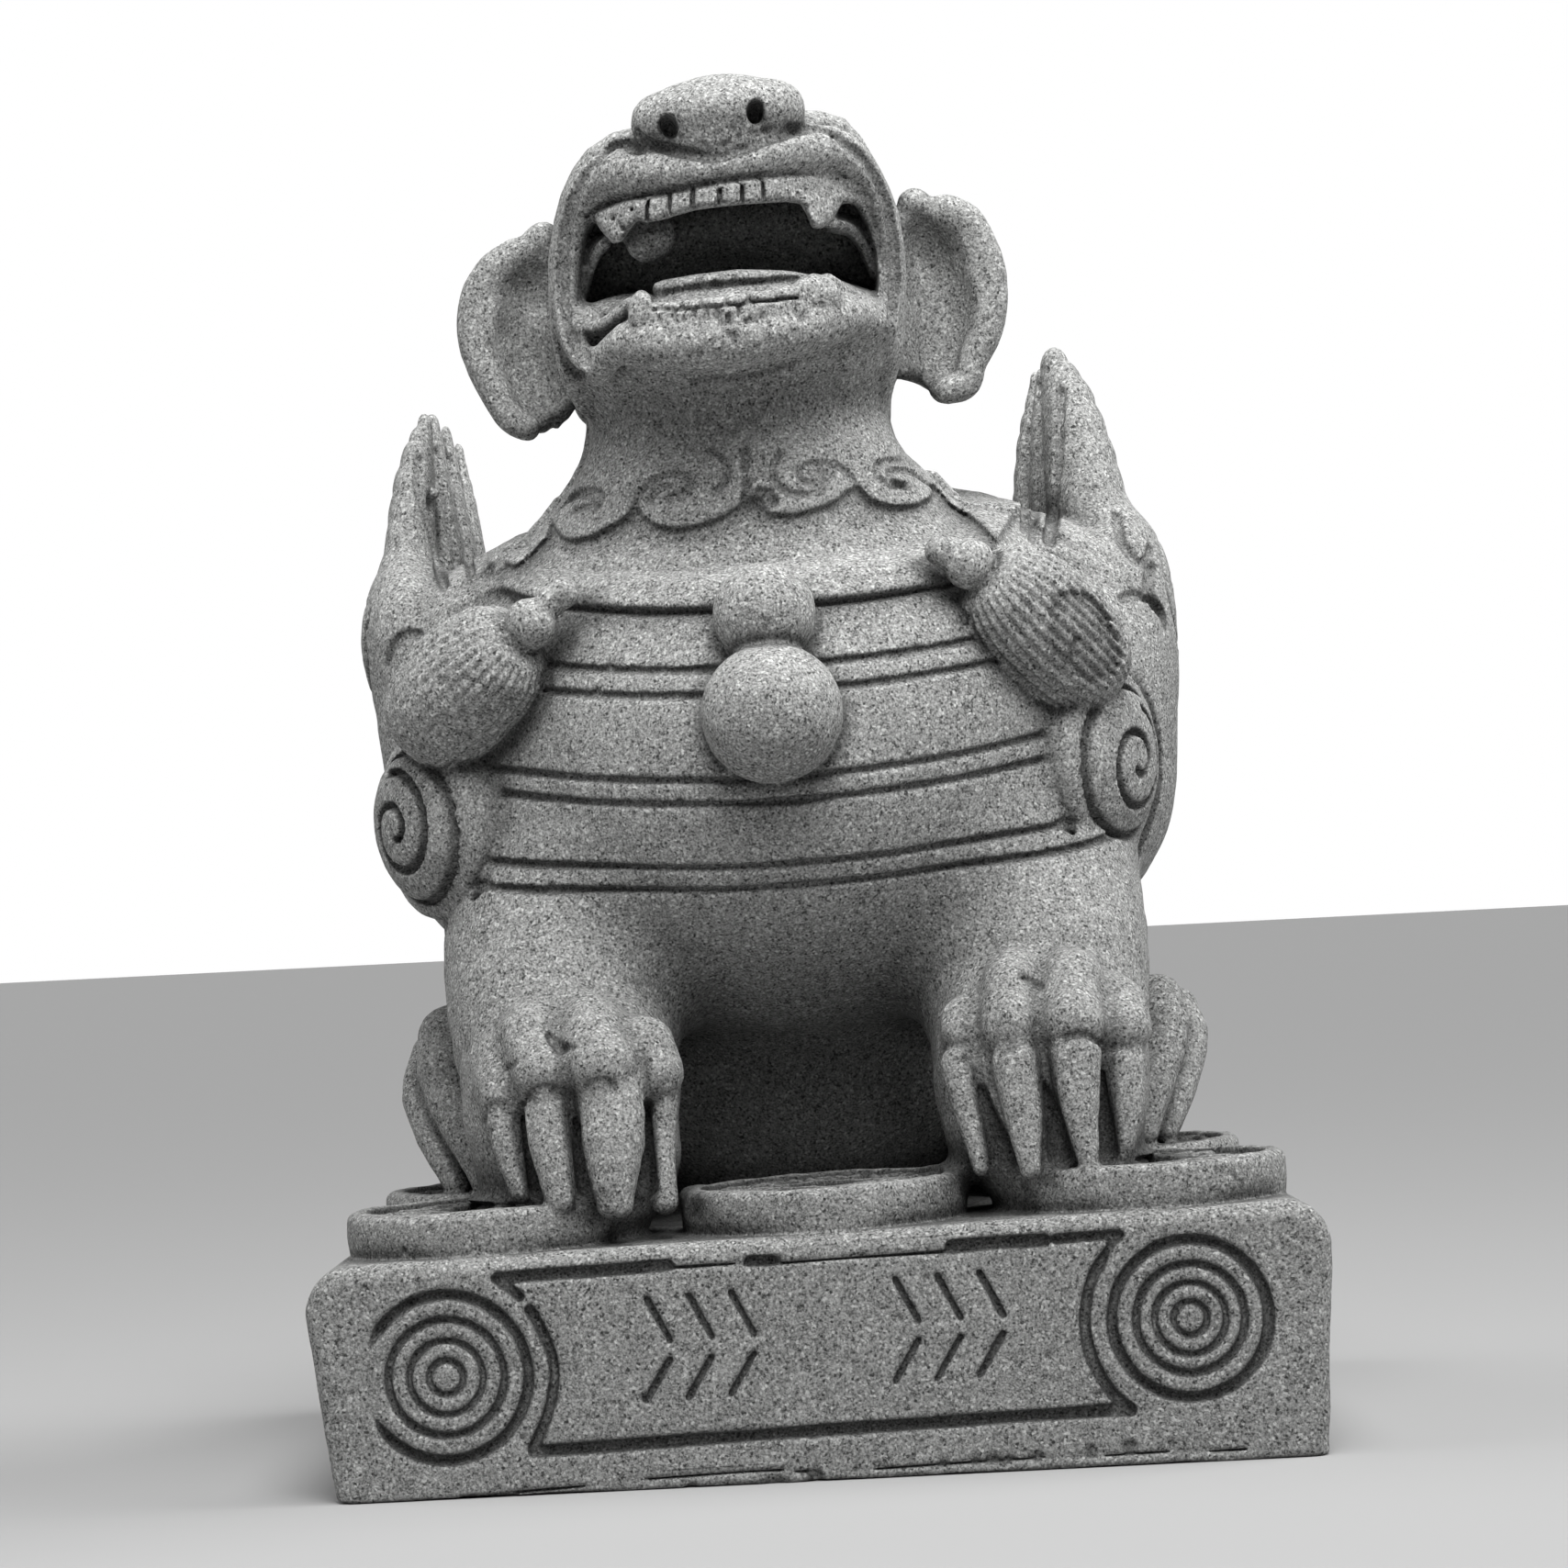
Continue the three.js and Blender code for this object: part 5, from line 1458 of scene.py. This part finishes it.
def piece(name, points, faces, normals, hollow, material):
    used, faces = np.unique(faces, return_inverse=True)
    body = mesh_body(name, points[used], faces.reshape(-1, 3))
    mesh = body.data
    mesh.shade_smooth()
    mesh.normals_split_custom_set_from_vertices(normals[used].tolist())
    values = mesh.attributes.new("hollow", "FLOAT", "POINT").data
    values.foreach_set("value", hollow[used].astype(np.float32))
    mesh.materials.append(material)
    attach(body, "root")
    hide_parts("pixiu_figure")


# The pieces from below, each with the height where it ends
PIECES = {"plinth": -4, "paws": 6, "legs": 22, "body": 38, "collar": 53, "head": 99}
# The roughness of the skin: how high, how wide a lump is, and the seed of its random values
ROUGH = [(0.07, 4.2, 1), (0.045, 1.5, 2), (0.03, 0.62, 4)]


def cast(clay, material):
    points, quads = largest_skin(*clay.skin())
    points, faces = reduced(points, quads, TRIANGLES)
    normals = field_normals(clay, points)
    points = points - normals * np.clip(clay.sample(points), -0.1, 0.1)[:, None]
    hollow = hollowness(clay, points, normals)
    rough = sum(height * grain(points, size, seed) for height, size, seed in ROUGH)
    points = points + normals * rough[:, None]
    placed = (points + [0, 0, SEAT]) @ TURN.T
    placed[:, 2] = np.maximum(placed[:, 2], 0)
    placed *= 0.001
    smooth = vertex_normals(placed, faces)
    middle = points[faces].mean(1)[:, 2]
    low = -99
    for name, high in PIECES.items():
        part = faces[(middle >= low) & (middle < high)]
        piece("pixiu_" + name, placed, part, smooth, hollow, material)
        low = high


# The stone: fine light and dark grains, small pits, painted shade in the recesses, and a darker worn spot on
# the right tassel
STONE = (0.25, 0.252, 0.247, 1)
SPECKLES = 6000  # cells in a metre


def stone():
    material = bpy.data.materials.new("grey_stone")
    material.use_nodes = True
    nodes, links = material.node_tree.nodes, material.node_tree.links
    nodes.clear()

    def node(kind, inputs, **settings):
        """A node whose inputs are numbers, colours or what other nodes give out."""
        new = nodes.new("ShaderNode" + kind)
        for key, value in settings.items():
            setattr(new, key, value)
        for key, value in inputs.items():
            if isinstance(value, bpy.types.NodeSocket):
                links.new(value, new.inputs[key])
            else:
                new.inputs[key].default_value = value
        return new.outputs

    place = node("TexCoord", {})["Object"]

    def noise(scale, detail, rough):
        inputs = {"Vector": place, "Scale": scale, "Detail": detail, "Roughness": rough}
        return node("TexNoise", inputs)["Fac"]

    def spread(value, low, high, to_low, to_high):
        inputs = {"Value": value, "From Min": low, "From Max": high, "To Min": to_low, "To Max": to_high}
        return node("MapRange", inputs)["Result"]

    def maths(how, a, b):
        return node("Math", {0: a, 1: b}, operation=how)["Value"]

    cells = node("TexVoronoi", {"Vector": place, "Scale": SPECKLES})["Color"]
    split = node("SeparateColor", {"Color": cells})

    fine = noise(6400, 2, 0.7)
    soft = noise(1900, 3, 0.6)
    broad = noise(160, 3, 0.55)
    tone = maths("ADD", spread(fine, 0.34, 0.66, -0.6, 0.6), spread(soft, 0.35, 0.65, -0.16, 0.16))
    tone = maths("ADD", tone, spread(broad, 0.35, 0.65, -0.07, 0.07))
    light = spread(split["Red"], 0.8, 1.0, 0.0, 1.0)
    dark = spread(split["Green"], 0.8, 1.0, 0.0, -0.75)
    tone = maths("ADD", tone, maths("ADD", light, dark))
    tone = maths("ADD", tone, 1.0)

    hollow = node("Attribute", {}, attribute_name="hollow")["Fac"]
    # painted shade: the colour darkens where stone stands close round a point, in grooves and recesses; the
    # right tassel's worn spot darkens too
    painted_shade_and_worn_stain = spread(hollow, 0.1, 0.75, 1.0, 0.35)
    tone = maths("MULTIPLY", maths("MAXIMUM", tone, 0.16), painted_shade_and_worn_stain)
    # painted shade: the colour darkens towards the bottom, most on the plinth, for light that falls off from
    # the top
    height = node("SeparateXYZ", {"Vector": place})["Z"]
    tone = maths("MULTIPLY", tone, spread(height, 0.012, 0.06, 0.72, 1.0))
    colour = node("Mix", {"Factor": 1.0, 6: STONE, 7: tone}, data_type="RGBA", blend_type="MULTIPLY")[2]

    relief = maths("ADD", maths("MULTIPLY", fine, 0.6), maths("MULTIPLY", soft, 0.8))
    relief = maths("ADD", relief, spread(split["Blue"], 0.9, 1.0, 0.0, -0.5))
    bump = node("Bump", {"Strength": 0.55, "Distance": 0.00012, "Height": relief})["Normal"]
    skin = {"Base Color": colour, "Roughness": 0.9, "Specular IOR Level": 0.22, "Normal": bump}
    node("OutputMaterial", {"Surface": node("BsdfPrincipled", skin)["BSDF"]})
    return material


# Camera, floor and soft light
SENSOR = 36
WHITE = (1, 1, 1, 1)
FLOOR_HALF = 6  # metres
FLOOR_GREY = (0.3, 0.3, 0.3, 1)
# Each light that comes from afar: its direction, its width in radians, and its strength
SUNS = [((0.1, -0.9, 1.0), 0.6, 2.0), ((1.0, 0.1, 0.8), 0.8, 2.3), ((-1.0, 0.1, 0.8), 0.8, 1.2)]


def camera():
    data = bpy.data.cameras.new("camera")
    data.sensor_width = SENSOR
    data.lens = FOCAL / PHOTO * SENSOR
    data.clip_start = 0.01
    eye = bpy.data.objects.new("camera", data)
    turn = Matrix((RIGHT, ABOVE, -AHEAD)).transposed().to_4x4()
    turn.translation = Vector(EYE * 0.001)
    eye.matrix_world = turn
    bpy.context.collection.objects.link(eye)
    bpy.context.scene.camera = eye


def floor():
    material = bpy.data.materials.new("floor")
    material.use_nodes = True
    skin = material.node_tree.nodes["Principled BSDF"]
    skin.inputs["Base Color"].default_value = FLOOR_GREY
    skin.inputs["Roughness"].default_value = 0.9
    mesh = bpy.data.meshes.new("floor")
    corners = [(x * FLOOR_HALF, y * FLOOR_HALF, 0) for x, y in ((-1, -1), (1, -1), (1, 1), (-1, 1))]
    mesh.from_pydata(corners, [], [(0, 1, 2, 3)])
    mesh.materials.append(material)
    ground = bpy.data.objects.new("floor", mesh)
    ground.location.z = -0.00005
    bpy.context.collection.objects.link(ground)


def add_light(name, kind, energy, place, target=(0, 0, 0), **settings):
    data = bpy.data.lights.new(name, kind)
    data.energy = energy
    for key, value in settings.items():
        setattr(data, key, value)
    lamp = bpy.data.objects.new(name, data)
    lamp.location = place
    lamp.rotation_euler = (Vector(target) - Vector(place)).to_track_quat("-Z", "Y").to_euler()
    bpy.context.collection.objects.link(lamp)


def room():
    """A world that lights a little and shows white to the camera."""
    world = bpy.data.worlds.new("room")
    world.use_nodes = True
    nodes, links = world.node_tree.nodes, world.node_tree.links
    sky = nodes["Background"]
    seen = nodes.new("ShaderNodeBackground")
    for node, strength in ((sky, 0.08), (seen, 1.0)):
        node.inputs["Color"].default_value = WHITE
        node.inputs["Strength"].default_value = strength
    path = nodes.new("ShaderNodeLightPath")
    mix = nodes.new("ShaderNodeMixShader")
    links.new(path.outputs["Is Camera Ray"], mix.inputs["Fac"])
    links.new(sky.outputs["Background"], mix.inputs[1])
    links.new(seen.outputs["Background"], mix.inputs[2])
    links.new(mix.outputs["Shader"], nodes["World Output"].inputs["Surface"])
    bpy.context.scene.world = world
    bpy.context.scene.view_settings.view_transform = "Standard"


camera()
floor()
add_light("top", "AREA", 0.95, (0.02, -0.12, 0.31), (0, -0.01, 0.05), shape="DISK", size=0.2)
for place, width, strength in SUNS:
    add_light("sun", "SUN", strength, place, angle=width)
room()
cast(sculpt(), stone())
